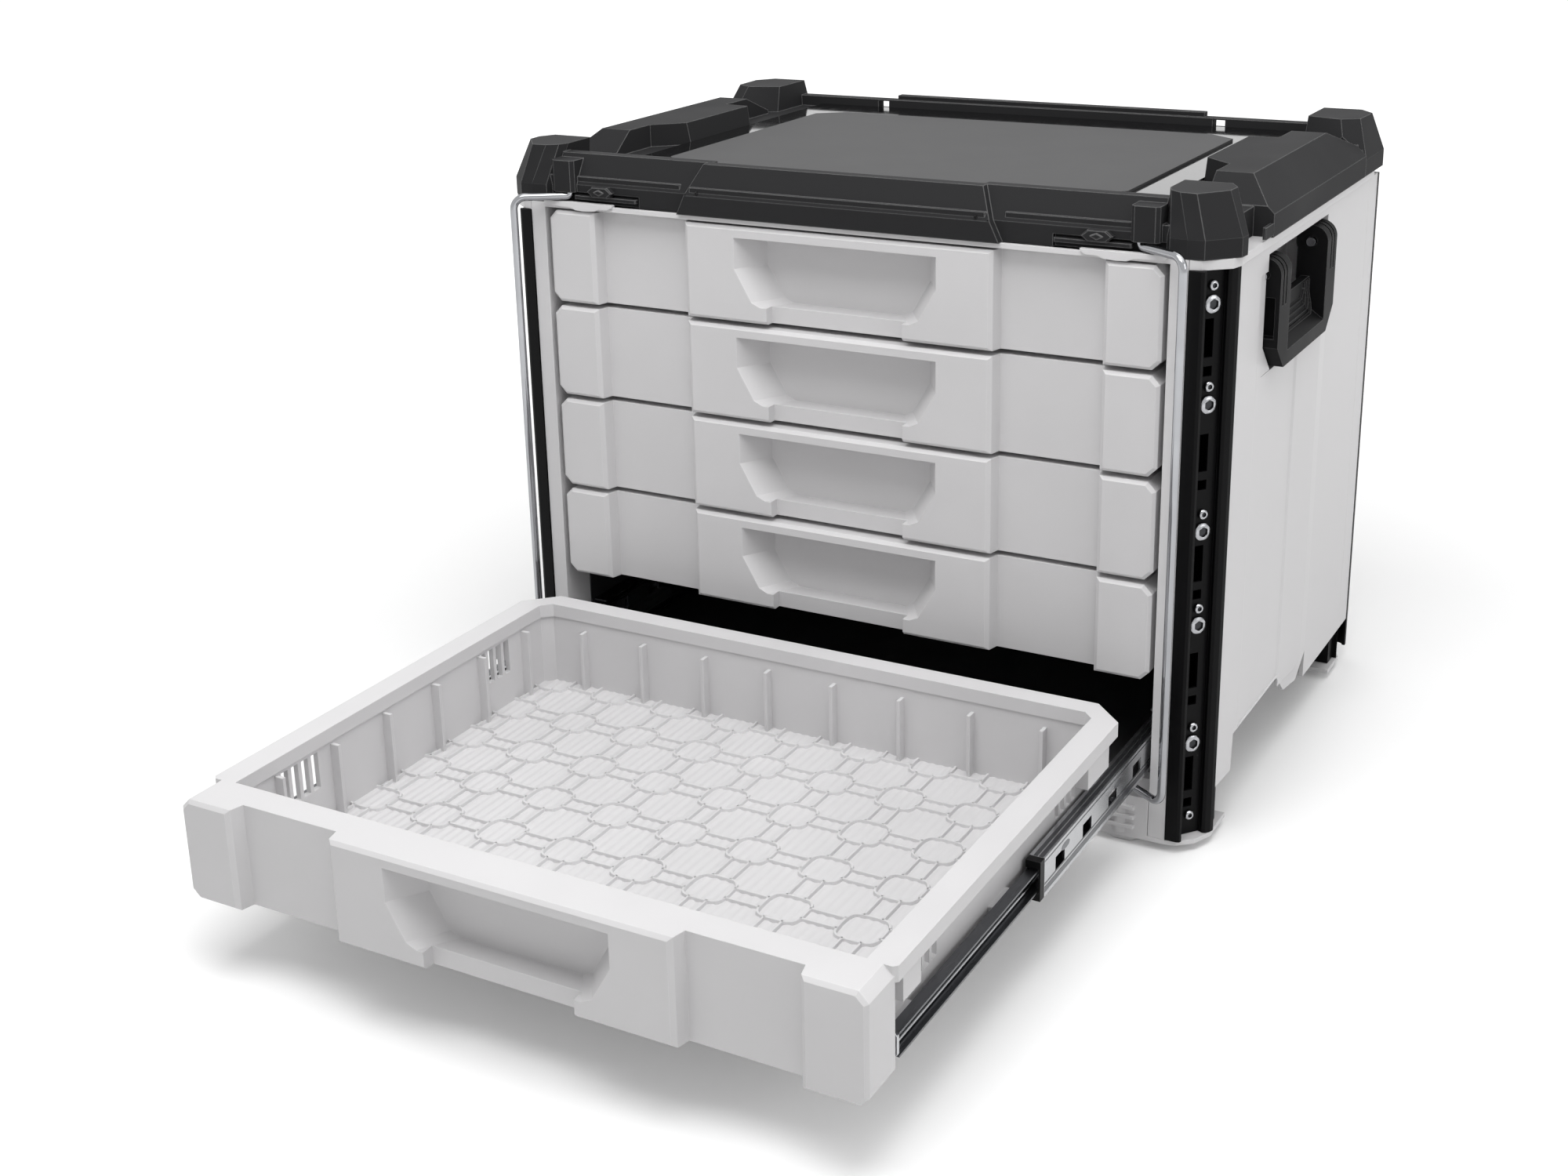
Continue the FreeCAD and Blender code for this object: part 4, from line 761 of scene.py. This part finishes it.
# ---------------------------------------------------------------------------
# Screws
# ---------------------------------------------------------------------------
@dataclass
class PostScrews:
    """Button-head socket screws in the corner posts, in place of the plain heads."""

    name: str
    radius: float
    key: float
    heights: tuple[float, ...]
    head: float = 1.6
    seat: tuple[float, float] = (206.635, -139.76)
    lip: float = 1.08  # the socket's rounded mouth over the key's corners
    socket_rings: int = 3
    steps: int = 30

    def head_shape(self) -> tuple[Array, list]:
        """One head about +Z: a rim, a dome, then a hexagon socket whose radius at an angle is the
        half key width over the cosine of the angle from the nearest flat.

        Returns:
            Vertices and faces.
        """
        angle = np.linspace(0, 2 * np.pi, self.steps, endpoint=False)
        flat = np.mod(angle + np.pi / 6, np.pi / 3) - np.pi / 6
        hexagon = self.key / 2 / np.cos(flat)
        circle = np.ones(self.steps)
        r, h = self.radius, self.head
        lip = self.key / 2 / math.cos(math.pi / 6) * self.lip
        dome = [(r, 0.0), (r, 0.3 * h), (0.96 * r, 0.55 * h), (0.86 * r, 0.78 * h),
                (0.72 * r, 0.93 * h), (max(lip, 0.58 * r), h)]
        radii = [circle * a for a, _ in dome] + [circle * lip, hexagon, hexagon, hexagon * 0.1]
        levels = [b for _, b in dome] + [h * 0.98, h * 0.9, h * 0.2, h * 0.08]
        return lathe(np.array(radii), np.array(levels), self.steps)

    def build(self) -> list[bpy.types.Object]:
        """Make all heads on the four posts: bright outside, and darker down in the socket, whose
        faces are those of the profile's last rings; the darker socket is painted shade.

        Returns:
            The new objects.
        """
        vertices, faces = self.head_shape()
        inner = len(vertices) - self.socket_rings * self.steps
        out = np.array([*POST_FACE_OUT, 0.0])
        side = np.array([-out[1], out[0], 0.0])
        up = np.array([0.0, 0.0, 1.0])
        turned = vertices @ np.stack([side, up, out])
        spots = np.array([[*self.seat, z] for z in self.heights])
        made = []
        # The socket's faces take the darker finish: painted shade in the hollow.
        for part, finish in (("heads", Finishes.SCREW), ("sockets", Finishes.SOCKET)):
            rows = [row for row in faces if (min(row) >= inner) == (part == "sockets")]
            parts = []
            for sx, sy in ((1, 1), (-1, 1), (1, -1), (-1, -1)):
                scale = np.array([sx, sy, 1.0])
                kept = rows if sx * sy > 0 else [row[::-1] for row in rows]
                parts += [((turned + spot) * scale, kept) for spot in spots]
            made.append(piece(f"{self.name}_{part}", *joined(parts), finish, "cabinet",
                              "screw_steel"))
        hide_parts(self.name)
        return made


# ---------------------------------------------------------------------------
# Slides
# ---------------------------------------------------------------------------
@dataclass
class SlideBalls:
    """The ball rows inside one pair of telescopic slides."""

    number: int
    radius: float = 1.25
    spacing: float = 9.0
    count: int = 12
    row: float = 7.9
    x: float = 182.4
    first: float = 14.0
    pole: float = 0.2  # latitude, in radians, at which the ball's ends are closed flat

    def ball(self) -> tuple[Array, list]:
        """One ball: each ring's radius is the sine and its height minus the cosine of latitude."""
        latitude = np.linspace(self.pole, np.pi - self.pole, 6)
        return lathe(self.radius * np.sin(latitude), -self.radius * np.cos(latitude), 10)

    def build(self) -> list[bpy.types.Object]:
        """Make the balls of both sides.

        Returns:
            The new objects.
        """
        low, high = (np.array(v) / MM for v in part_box(f"middle_rails_{self.number}"))
        mid = (low[2] + high[2]) / 2
        start = low[1] + self.first
        vertices, faces = self.ball()
        parts = []
        for level in (mid - self.row, mid + self.row):
            for k in range(self.count):
                parts.append((vertices + [self.x, start + k * self.spacing, level], faces))
        return [piece(f"slide_{self.number}_balls", *both_sides(joined(parts)), Finishes.SCREW,
                      f"slide_unit_{self.number}", "screw_steel", smooth=True)]


@dataclass
class SlideTrim:
    """What is pressed out of the slides' sheet: rolled beads and end tabs on the drawer's members,
    and the lanced tongues, oval bosses and oiled ball tracks of the middle members."""

    number: int
    bead_half: tuple[float, float] = (0.7, 0.9)
    bead_apart: float = 3.6
    bead_web: float = 4.4  # from the member's outer face in to its web
    bead_end: float = 3.0
    tongue_first: float = 4.0
    tongue_pitch: float = 36.0
    tongue_half: float = 2.2
    tongue_count: int = 7
    boss_half: tuple[float, float] = (5.5, 2.1)
    boss_first: float = 27.0
    boss_pitch: float = 72.0
    boss_rise: float = 4.6
    boss_count: int = 3
    tab_web: float = 3.0
    rim_half: tuple[float, float] = (1.2, 2.2)
    top_tracks: tuple[tuple[float, float], ...] = ((5.9, 3.9), (3.2, 1.0))
    face_tracks: tuple[tuple[float, float], ...] = ((2.2, 5.4), (6.4, 7.4), (18.6, 19.4))
    track_end: float = 0.5

    def corners(self, node: str) -> tuple[Array, Array]:
        """The low and high corners of a slide node, in millimetres."""
        low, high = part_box(f"{node}_{self.number}")
        return np.array(low) / MM, np.array(high) / MM

    def beads(self) -> tuple[Array, list]:
        """Round-topped beads along both edges of a drawer member's web: the section is half an
        ellipse.

        Returns:
            Vertices and faces.
        """
        low, high = self.corners("inner_rails")
        mid = (low[2] + high[2]) / 2
        web = high[0] - self.bead_web
        deep, tall = self.bead_half
        angle = np.linspace(0, np.pi, 5)
        parts = []
        for level in (mid - self.bead_apart, mid + self.bead_apart):
            section = np.column_stack([web + deep * np.sin(angle), level - tall * np.cos(angle)])
            parts.append(prism(section, low[1] + self.bead_end, high[1] - self.bead_end, 1))
        return joined(parts)

    def tongues(self) -> tuple[Array, list]:
        """Small wedges that lean out of a middle member's web, one beside each hole, and three oval
        bosses above them.

        Returns:
            Vertices and faces.
        """
        low, high = self.corners("middle_rails")
        mid = (low[2] + high[2]) / 2
        web = high[0] - 0.2
        wedge = np.array([(web - 0.5, 0.0), (web + 0.05, 0.0), (web + 0.05, 5.0), (web - 0.5, 6.0)])
        parts = [prism(wedge + [0.0, low[1] + self.tongue_first + self.tongue_pitch * k],
                       mid - self.tongue_half, mid + self.tongue_half, 2)
                 for k in range(self.tongue_count)]
        parts += [prism(oval(self.boss_half, 16)
                        + [low[1] + self.boss_first + self.boss_pitch * k, mid + self.boss_rise],
                        web - 0.4, web + 0.3, 0, 0.25) for k in range(self.boss_count)]
        return joined(parts)

    def tabs(self) -> tuple[Array, list]:
        """The bright folded end of each drawer member: a plate with its corners cut, and a hole's
        rim.

        Returns:
            Vertices and faces.
        """
        low, high = self.corners("inner_rails")
        mid, x = (low[2] + high[2]) / 2, high[0] - self.tab_web
        half = np.array([(-2.6, -4.4), (-1.6, -5.6), (1.6, -5.6), (2.6, -4.4),
                         (2.6, 4.4), (1.6, 5.6), (-1.6, 5.6), (-2.6, 4.4)])
        return joined([prism(half + [x, mid], low[1] + 0.6, low[1] - 1.2, 1, 0.3),
                       prism(oval(self.rim_half, 12) + [x, mid], low[1] - 1.0, low[1] - 1.8, 1,
                             0.2)])

    def lips(self) -> tuple[Array, list]:
        """Dark oiled tracks along the top and the face of a middle member, with bright lines
        between.

        Returns:
            Vertices and faces.
        """
        low, high = self.corners("middle_rails")
        near, far = low[1] + self.track_end, high[1] - self.track_end
        parts = [prism(rectangle((high[0] - start, near), (high[0] - stop, far)),
                       high[2] - 0.4, high[2] + 0.15, 2, 0.1) for start, stop in self.top_tracks]
        parts += [prism(rectangle((near, low[2] + start), (far, low[2] + stop)),
                        high[0] - 0.6, high[0] + 0.06, 0, 0.1) for start, stop in self.face_tracks]
        return joined(parts)

    def build(self) -> list[bpy.types.Object]:
        """Make the trim of both sides.

        Returns:
            The new objects.
        """
        kinds = (("lips", self.lips(), Finishes.OILED_RAIL, "slide"),
                 ("beads", self.beads(), Finishes.BRIGHT_RAIL, "drawer"),
                 ("tabs", self.tabs(), Finishes.BRIGHT_RAIL, "drawer"),
                 ("tongues", self.tongues(), Finishes.RAIL, "slide"))
        return [piece(f"slide_{self.number}_{kind}", *both_sides(shape), finish,
                      f"{unit}_unit_{self.number}", "rail_steel")
                for kind, shape, finish, unit in kinds]


# ---------------------------------------------------------------------------
# Lid
# ---------------------------------------------------------------------------
@dataclass
class LidTrim:
    """The lid's fine pieces: hooks in front, marks on its corner blocks, drain holes, and latch
    bars and skirts at the sides."""

    bottom: float = 297.0
    crown: float = 329.0
    hook: tuple[float, float] = (149.6, 304.6)
    boss_depths: tuple[float, float] = (-147.6, -152.9)
    shelf_depths: tuple[float, float] = (-148.0, -151.2)
    lozenge_depths: tuple[float, float] = (-152.5, -153.4)
    hole_depths: tuple[float, float] = (-153.0, -153.95)
    # Each strip's ends and width, and each bar's middle, width and top above the lid's foot.
    strips: tuple[tuple, ...] = (((194.5, -123.4), (206.5, -122.0), 1.7),
                                 ((190.0, -118.4), (203.5, -117.2), 1.0),
                                 ((190.5, 137.0), (204.0, 135.6), 1.6),
                                 ((188.0, 143.0), (203.0, 141.8), 1.0))
    bars: tuple[tuple, ...] = ((103.6, 4.2, 15.4), (110.4, 5.2, 17.2), (116.6, 3.0, 14.6))
    bar_faces: tuple[float, float] = (211.0, 217.6)
    skirt_faces: tuple[float, float] = (218.0, 219.9)

    def hooks(self) -> list[tuple[Array, list]]:
        """A hexagon boss beside each lug with a lozenge on it, on a thin shelf that runs along the
        notch.

        Returns:
            Vertices and faces of each.
        """
        x, z = self.hook
        boss = np.array([(x - 8.6, z + 0.3), (x - 5.2, z + 3.4), (x + 5.0, z + 3.4),
                         (x + 8.4, z + 0.6), (x + 5.2, z - 2.6), (x - 5.4, z - 2.6)])
        shelf = rectangle((126.0, z - 4.6), (167.5, z - 2.4))
        lozenge = np.array([(x - 3.4, z + 0.4), (x, z + 1.9), (x + 3.4, z + 0.4), (x, z - 1.2)])
        return [prism(boss, *self.boss_depths, 1, 0.8), prism(shelf, *self.shelf_depths, 1, 0.5),
                prism(lozenge, *self.lozenge_depths, 1, 0.3)]

    def marks(self) -> list[tuple[Array, list]]:
        """Thin strips across the crowns of the corner blocks, and the drain holes in front, each
        drawn as a black diamond that paints the shade inside the hole.

        Returns:
            Vertices and faces of each.
        """
        parts = []
        for (x0, y0), (x1, y1), width in self.strips:
            corners = np.array([(x0, y0 - width / 2), (x1, y1 - width / 2), (x1, y1 + width / 2),
                                (x0, y0 + width / 2)])
            parts.append(prism(corners, self.crown - 0.4, self.crown - 0.05, 2))
        # Painted shade: a drain hole is drawn as a solid black diamond, not as an opening.
        hole = np.array([(0.0, 1.2), (-1.1, 0.0), (0.0, -1.2), (1.1, 0.0)])
        for place in ((91.0, self.bottom + 11.0), (84.0, self.bottom + 12.5)):
            parts.append(prism(hole + place, *self.hole_depths, 1))
        return parts

    def latches(self) -> list[tuple[Array, list]]:
        """Upright bars on the boss behind each side rail, and a raised skirt along the rail's foot.

        Returns:
            Vertices and faces of each.
        """
        parts = []
        for y, width, top in self.bars:
            bar = rectangle((y - width / 2, 0.6), (y + width / 2, top)) + [0.0, self.bottom]
            parts.append(prism(bar, *self.bar_faces, 0, 0.8))
        skirt = rectangle((-98.0, 1.2), (60.0, 7.6)) + [0.0, self.bottom]
        parts.append(prism(skirt, *self.skirt_faces, 0, 0.6))
        return parts

    def build(self) -> list[bpy.types.Object]:
        """Make the trim.

        Returns:
            The new objects.
        """
        parts = self.hooks() + self.latches()
        return [piece("lid_trim", *both_sides(joined(parts)), Finishes.LID, "cabinet",
                      "lid_plastic"),
                piece("lid_slots", *both_sides(joined(self.marks())), Finishes.STOP, "cabinet",
                      "lid_plastic")]


@dataclass
class FrontTabs:
    """The light gray tabs of the case's frame that show under the lid's notches, and the fins round
    the lower sockets of the bails."""

    level: float = 296.9
    face: float = -153.4
    foot_face: float = -154.6
    back: float = -150.0
    fin_levels: tuple[float, ...] = (-18.6, -12.9, -7.2)
    fin_span: tuple[float, float] = (163.4, 180.6)
    fin_thick: float = 2.1

    def tabs(self) -> list[tuple[Array, list]]:
        """A wavy tab: its lower edge falls and rises in two steps.

        Returns:
            Vertices and faces of each.
        """
        outline = np.array([(141.0, 0.0), (144.0, -1.5), (150.0, -1.5), (153.0, -2.9),
                            (160.0, -3.4), (166.0, -3.1), (170.0, -1.6), (186.0, -1.0),
                            (188.0, 0.9), (186.0, 1.5), (141.0, 1.5)]) + [0.0, self.level]
        return [prism(outline[::-1], self.back, self.face, 1, 0.4)]

    def fins(self) -> list[tuple[Array, list]]:
        """Three thin plates, one above another.

        Returns:
            Vertices and faces of each.
        """
        near, far = self.fin_span
        return [prism(rectangle((near, level), (far, level + self.fin_thick)), self.back,
                      self.foot_face, 1, 0.5) for level in self.fin_levels]

    def build(self) -> list[bpy.types.Object]:
        """Make the tabs and fins."""
        return [piece("front_tabs", *both_sides(joined(self.tabs() + self.fins())), Finishes.CASE,
                      "cabinet", "case_plastic")]


@dataclass
class PocketCorners:
    """The three-cornered webs that close the lower corners of each handle's pocket, beside the cut
    corners of the handle."""

    fore: float = -79.5
    aft: float = 35.5
    low: float = 221.0
    leg: float = 16.3
    back: float = 205.5
    fore_face: float = 215.8
    aft_face: float = 216.6

    def build(self) -> list[bpy.types.Object]:
        """Make the webs of both sides.

        Returns:
            The new objects.
        """
        parts = []
        for y, step, face in ((self.fore, self.leg, self.fore_face),
                              (self.aft, -self.leg, self.aft_face)):
            web = np.array([(y, self.low), (y + step, self.low), (y, self.low + self.leg)])
            parts.append(prism(web, self.back, face, 0, 0.4))
        return [piece("pocket_corners", *both_sides(joined(parts)), Finishes.CASE, "cabinet",
                      "case_plastic")]


@dataclass
class PostRidges:
    """The two rounded ridges down each front post, one on either side of its channel: the inner one
    has a flat front, and the outer one follows the post's sloping face."""

    corner: tuple[float, float] = (197.9, -151.9)
    along: tuple[float, float] = (0.6239, 0.7815)
    low: float = -21.4
    high: float = 291.8

    def build(self) -> list[bpy.types.Object]:
        """Make the ridges of both posts: the outer one's section is given along and off the face.

        Returns:
            The new objects.
        """
        inner = np.array([(197.9, -151.0), (197.9, -152.7), (204.4, -152.7), (205.9, -152.1),
                          (206.5, -150.6), (205.7, -149.2), (202.0, -146.8)])
        face = np.array([(21.6, -0.6), (22.0, 1.6), (23.4, 2.8), (26.6, 3.0), (29.0, 2.2),
                         (30.3, 0.2), (30.0, -0.6)])
        outer = np.array(self.corner) + face @ np.array([self.along, POST_FACE_OUT])
        shape = joined([prism(section, self.low, self.high, 2) for section in (inner, outer)])
        return [piece("post_ridges", *both_sides(shape), Finishes.POST, "cabinet", "post_metal")]


@dataclass
class RearCorners:
    """What squares the case's rear corners: each side's pale wall runs on to the back, where a thin
    black steel edge turns round it to the post."""

    low: float = -1.0
    high: float = 291.8
    side: float = 216.9
    thick: float = 1.6
    edge_low: float = -20.0

    def build(self) -> list[bpy.types.Object]:
        """Make the walls and the edges of both sides.

        Returns:
            The new objects.
        """
        x, wall = self.side, self.thick
        cover = rectangle((x - wall, 127.9), (x, 147.4))
        edge = np.array([(x + 0.3, 147.5), (x + 0.3, 150.4), (x - 3.0, 151.4), (190.6, 152.3),
                         (190.6, 152.0), (x - 4.0, 150.6), (x - wall, 149.0), (x - wall, 147.5)])
        return [piece("rear_corner_walls", *both_sides(prism(cover, self.low, self.high, 2)),
                      Finishes.CASE, "cabinet", "case_plastic"),
                piece("rear_corner_edges", *both_sides(prism(edge, self.edge_low, self.high, 2)),
                      Finishes.POST, "cabinet", "post_metal")]


# ---------------------------------------------------------------------------
# Handles
# ---------------------------------------------------------------------------
class Side(Enum):
    """The side of the case that a handle is on."""

    LEFT = "left"
    RIGHT = "right"


@dataclass
class HandleRelief:
    """The waves in the scoop of a handle's grip: ridges that follow the scoop's outline."""

    side: Side
    levels: tuple[float, ...] = (231.5, 236.5, 247.5, 255.5)
    depths: tuple[float, ...] = (223.2, 216.2, 213.7, 213.7)
    fore: float = -58.0
    aft: float = 14.0
    low: float = 231.5
    high: float = 255.5
    corner: float = 5.0
    first: float = 2.6
    pitch: float = 3.4
    rings: int = 4

    def ridge(self, inset: float) -> tuple[Array, list]:
        """One U-shaped ridge of a diamond section. It lies on the scoop, whose depth at a height is
        read off the straight runs of the scoop's section.

        Args:
            inset: how far it lies inside the scoop's sides and bottom.

        Returns:
            Vertices and faces.
        """
        left, right, low = self.fore + inset, self.aft - inset, self.low + inset + 2
        bend, top, cut = self.levels[2], self.high - 0.8, self.corner
        path = np.array([(left, top), (left, bend), (left, low + cut), (left + cut, low),
                         (right - cut, low), (right, low + cut), (right, bend), (right, top)])
        ahead = np.gradient(path, axis=0)
        out = np.stack([ahead[:, 1], -ahead[:, 0]], axis=1)
        out = out / np.linalg.norm(out, axis=1, keepdims=True)
        section = [(1.1, 0.0), (0.0, 1.3), (-1.1, 0.0), (0.0, -0.6)]
        depth = np.interp(path[:, 1], self.levels, self.depths)
        rings = np.stack([np.column_stack([depth + rise, path + out * shift])
                          for shift, rise in section], axis=1)
        count = len(path)
        here = np.arange(count * 4).reshape(count, 4)
        quads = np.stack([here[:-1], here[1:], np.roll(here[1:], -1, axis=1),
                          np.roll(here[:-1], -1, axis=1)], axis=-1).reshape(-1, 4)
        ends = [here[0][::-1].tolist(), here[-1].tolist()]
        return rings.reshape(-1, 3), quads.tolist() + ends

    def build(self) -> list[bpy.types.Object]:
        """Make the ridges of this handle.

        Returns:
            The new objects.
        """
        shape = joined([self.ridge(self.first + self.pitch * k) for k in range(self.rings)])
        if self.side is Side.LEFT:
            shape = mirrored(shape)
        name = self.side.value
        return [piece(f"handle_{name}_waves", *shape, Finishes.HANDLE, f"{name}_grip",
                      "handle_plastic")]


# ---------------------------------------------------------------------------
# Finishes of the frame's own pieces
# ---------------------------------------------------------------------------
# By the start of a node's name; the longest start that fits it counts.
NODE_FINISHES: dict[str, Finishes] = {
    "base": Finishes.CASE, "front_bezel": Finishes.CASE, "rear_panel": Finishes.CASE,
    "top_collar": Finishes.CASE, "side_panel": Finishes.CASE, "floor_plate": Finishes.LINER,
    "inner_wall": Finishes.LINER, "post_": Finishes.POST, "top_cover": Finishes.LID,
    "top_panel": Finishes.PANEL, "top_mat": Finishes.MAT, "drawer_": Finishes.DRAWER,
    "outer_rails": Finishes.RAIL, "middle_rails": Finishes.BRIGHT_RAIL,
    "inner_rails": Finishes.OILED_RAIL, "rail_stops": Finishes.STOP, "bail_": Finishes.CHROME,
    "handle_pins": Finishes.SCREW, "handle_": Finishes.HANDLE, "small_screws": Finishes.SCREW,
    "large_screws": Finishes.SCREW,
}


def dress_frame() -> None:
    """Give every piece of the frame its finish."""
    for name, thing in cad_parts.items():
        start = max((key for key in NODE_FINISHES if name.startswith(key)), key=len)
        thing.data.materials.clear()
        thing.data.materials.append(NODE_FINISHES[start].material())
        LOG.info("finish %s on %s", NODE_FINISHES[start].value.name, name)


# ---------------------------------------------------------------------------
# Studio
# ---------------------------------------------------------------------------
@dataclass(frozen=True)
class Softbox:
    """One rectangular lamp: its middle and what it faces in metres, its width and height, and how
    bright its face is, where 1 is white."""

    name: str
    place: tuple[float, float, float]
    target: tuple[float, float, float]
    size: tuple[float, float]
    radiance: float

    def hang(self) -> None:
        """Add the lamp to the scene."""
        data = bpy.data.lights.new(self.name, "AREA")
        data.shape = "RECTANGLE"
        data.size, data.size_y = self.size
        data.energy = self.radiance * math.pi * self.size[0] * self.size[1]
        made = bpy.data.objects.new(self.name, data)
        made.location = self.place
        ahead = Vector(self.target) - Vector(self.place)
        made.rotation_euler = ahead.to_track_quat("-Z", "Y").to_euler()
        bpy.context.scene.collection.objects.link(made)


@dataclass
class Studio:
    """A white floor, a white surround, four soft lamps and the camera."""

    floor_size: float = 30.0
    world_level: float = 0.5
    floor_lift: float = 0.1
    far_lift: float = 0.62
    far_start: float = 0.3
    far_end: float = 1.3
    lens_mm: float = 46.604
    shift: tuple[float, float] = (-0.00243, -0.07058)
    eye: tuple[float, float, float] = (0.5035, -1.0987, 0.5176)
    azimuth: float = 29.436
    elevation: float = 18.606
    roll: float = -1.267
    sensor_mm: float = 36.0
    paper: str = "#F2F2F2"
    paper_unseen: str = "#D8D8D8"
    lamps: tuple[Softbox, ...] = (
        Softbox("softbox_top", (0.6, 0.2, 2.2), (0, -0.1, 0.1), (2.0, 2.0), 1.0),
        Softbox("softbox_back", (-1.6, 2.4, 2.3), (0, 0, 0.25), (2.2, 1.0), 1.0),
        Softbox("softbox_front", (0.1, -0.66, 1.3), (0, -0.3, 0.1), (1.0, 0.8), 4.7),
        Softbox("softbox_right", (2.4, -0.5, 1.2), (0, 0, 0.15), (1.2, 1.2), 2.1))

    def seen(self, tree: bpy.types.NodeTree) -> Socket:
        """Tell which rays see the surround itself.

        Args:
            tree: the node tree.

        Returns:
            1 for rays from the camera, or by way of gloss or glass, and 0 for others.
        """
        path = add(tree, "ShaderNodeLightPath").outputs
        first = add(tree, "ShaderNodeMath", {0: path["Is Camera Ray"], 1: path["Is Glossy Ray"]},
                    operation="ADD")
        return add(tree, "ShaderNodeMath", {0: first.outputs[0], 1: path["Is Transmission Ray"]},
                   operation="ADD", use_clamp=True).outputs[0]

    def floor(self) -> None:
        """Lay the floor under the lowest point of the case: white where it is seen, a little darker
        where it only throws light back up."""
        level = CAD_BOX[0][2]
        half = self.floor_size / 2
        mesh = bpy.data.meshes.new("studio_floor")
        corners = rectangle((-half, -half), (half, half))
        mesh.from_pydata([(x, y, level) for x, y in corners.tolist()], [], [(0, 1, 2, 3)])
        material = bpy.data.materials.new("paper_white_backdrop")
        material.use_nodes = True
        tree = material.node_tree
        tree.nodes.clear()
        paper = add(tree, "ShaderNodeBsdfDiffuse", {"Color": linear(self.paper)})
        place = add(tree, "ShaderNodeTexCoord").outputs["Object"]
        reach = add(tree, "ShaderNodeVectorMath", {0: place}, operation="LENGTH").outputs["Value"]
        lift = add(tree, "ShaderNodeMapRange",
                   {"Value": reach, "From Min": self.far_start, "From Max": self.far_end,
                    "To Min": self.floor_lift, "To Max": self.far_lift},
                   interpolation_type="SMOOTHSTEP")
        glow = add(tree, "ShaderNodeEmission",
                   {"Color": (1, 1, 1, 1), "Strength": lift.outputs["Result"]})
        both = add(tree, "ShaderNodeAddShader", {0: paper.outputs[0], 1: glow.outputs[0]})
        dull = add(tree, "ShaderNodeBsdfDiffuse", {"Color": linear(self.paper_unseen)})
        mixed = add(tree, "ShaderNodeMixShader",
                    {0: self.seen(tree), 1: dull.outputs[0], 2: both.outputs[0]})
        add(tree, "ShaderNodeOutputMaterial", {"Surface": mixed.outputs[0]})
        mesh.materials.append(material)
        made = bpy.data.objects.new("studio_floor", mesh)
        bpy.context.scene.collection.objects.link(made)

    def world(self) -> None:
        """A plain surround: white where it is seen, softer where it only lights."""
        world = bpy.data.worlds.new("studio")
        bpy.context.scene.world = world
        world.use_nodes = True
        tree = world.node_tree
        tree.nodes.clear()
        level = add(tree, "ShaderNodeMapRange",
                    {"Value": self.seen(tree), "To Min": self.world_level, "To Max": 1.0})
        glow = add(tree, "ShaderNodeBackground",
                   {"Color": (1, 1, 1, 1), "Strength": level.outputs["Result"]})
        add(tree, "ShaderNodeOutputWorld", {"Surface": glow.outputs[0]})

    def camera(self) -> None:
        """Set the camera: its view direction from azimuth and elevation, then its roll."""
        az, el, roll = (math.radians(a) for a in (self.azimuth, self.elevation, self.roll))
        ahead = Vector((-math.sin(az) * math.cos(el), math.cos(az) * math.cos(el), -math.sin(el)))
        right = Vector((math.cos(az), math.sin(az), 0))
        up = right.cross(ahead)
        right, up = (right * math.cos(roll) + up * math.sin(roll),
                     up * math.cos(roll) - right * math.sin(roll))
        data = bpy.data.cameras.new("view")
        data.lens = self.lens_mm
        data.sensor_width = self.sensor_mm
        data.shift_x, data.shift_y = self.shift
        made = bpy.data.objects.new("view", data)
        turn = Matrix((right, up, -ahead)).transposed().to_4x4()
        made.matrix_world = Matrix.Translation(self.eye) @ turn
        bpy.context.scene.collection.objects.link(made)
        bpy.context.scene.camera = made

    def build(self) -> None:
        """Set up the whole studio."""
        self.floor()
        self.world()
        for lamp in self.lamps:
            lamp.hang()
        self.camera()
        bpy.context.scene.view_settings.view_transform = "Standard"


def main() -> None:
    """Dress the frame, build the fine pieces and set up the studio."""
    logging.basicConfig(level=logging.INFO, format="%(message)s")
    dress_frame()
    makers = [kind(number) for kind in (DrawerFloor, SlideBalls, SlideTrim)
              for number in range(1, DRAWERS + 1)]
    makers += [PostScrews("small_screws", 2.8, 2.4, (-10.2, 42.0, 110.2, 162.4, 230.6, 282.8)),
               PostScrews("large_screws", 4.9, 5.0, (32.5, 100.7, 152.9, 221.1, 273.3)),
               LidTrim(), FrontTabs(), PocketCorners(), PostRidges(), RearCorners(),
               HandleRelief(Side.RIGHT), HandleRelief(Side.LEFT)]
    for maker in makers:
        for made in maker.build():
            LOG.info("piece %s: %d faces", made.name, len(made.data.polygons))
    Studio().build()


if __name__ == "__main__":
    main()
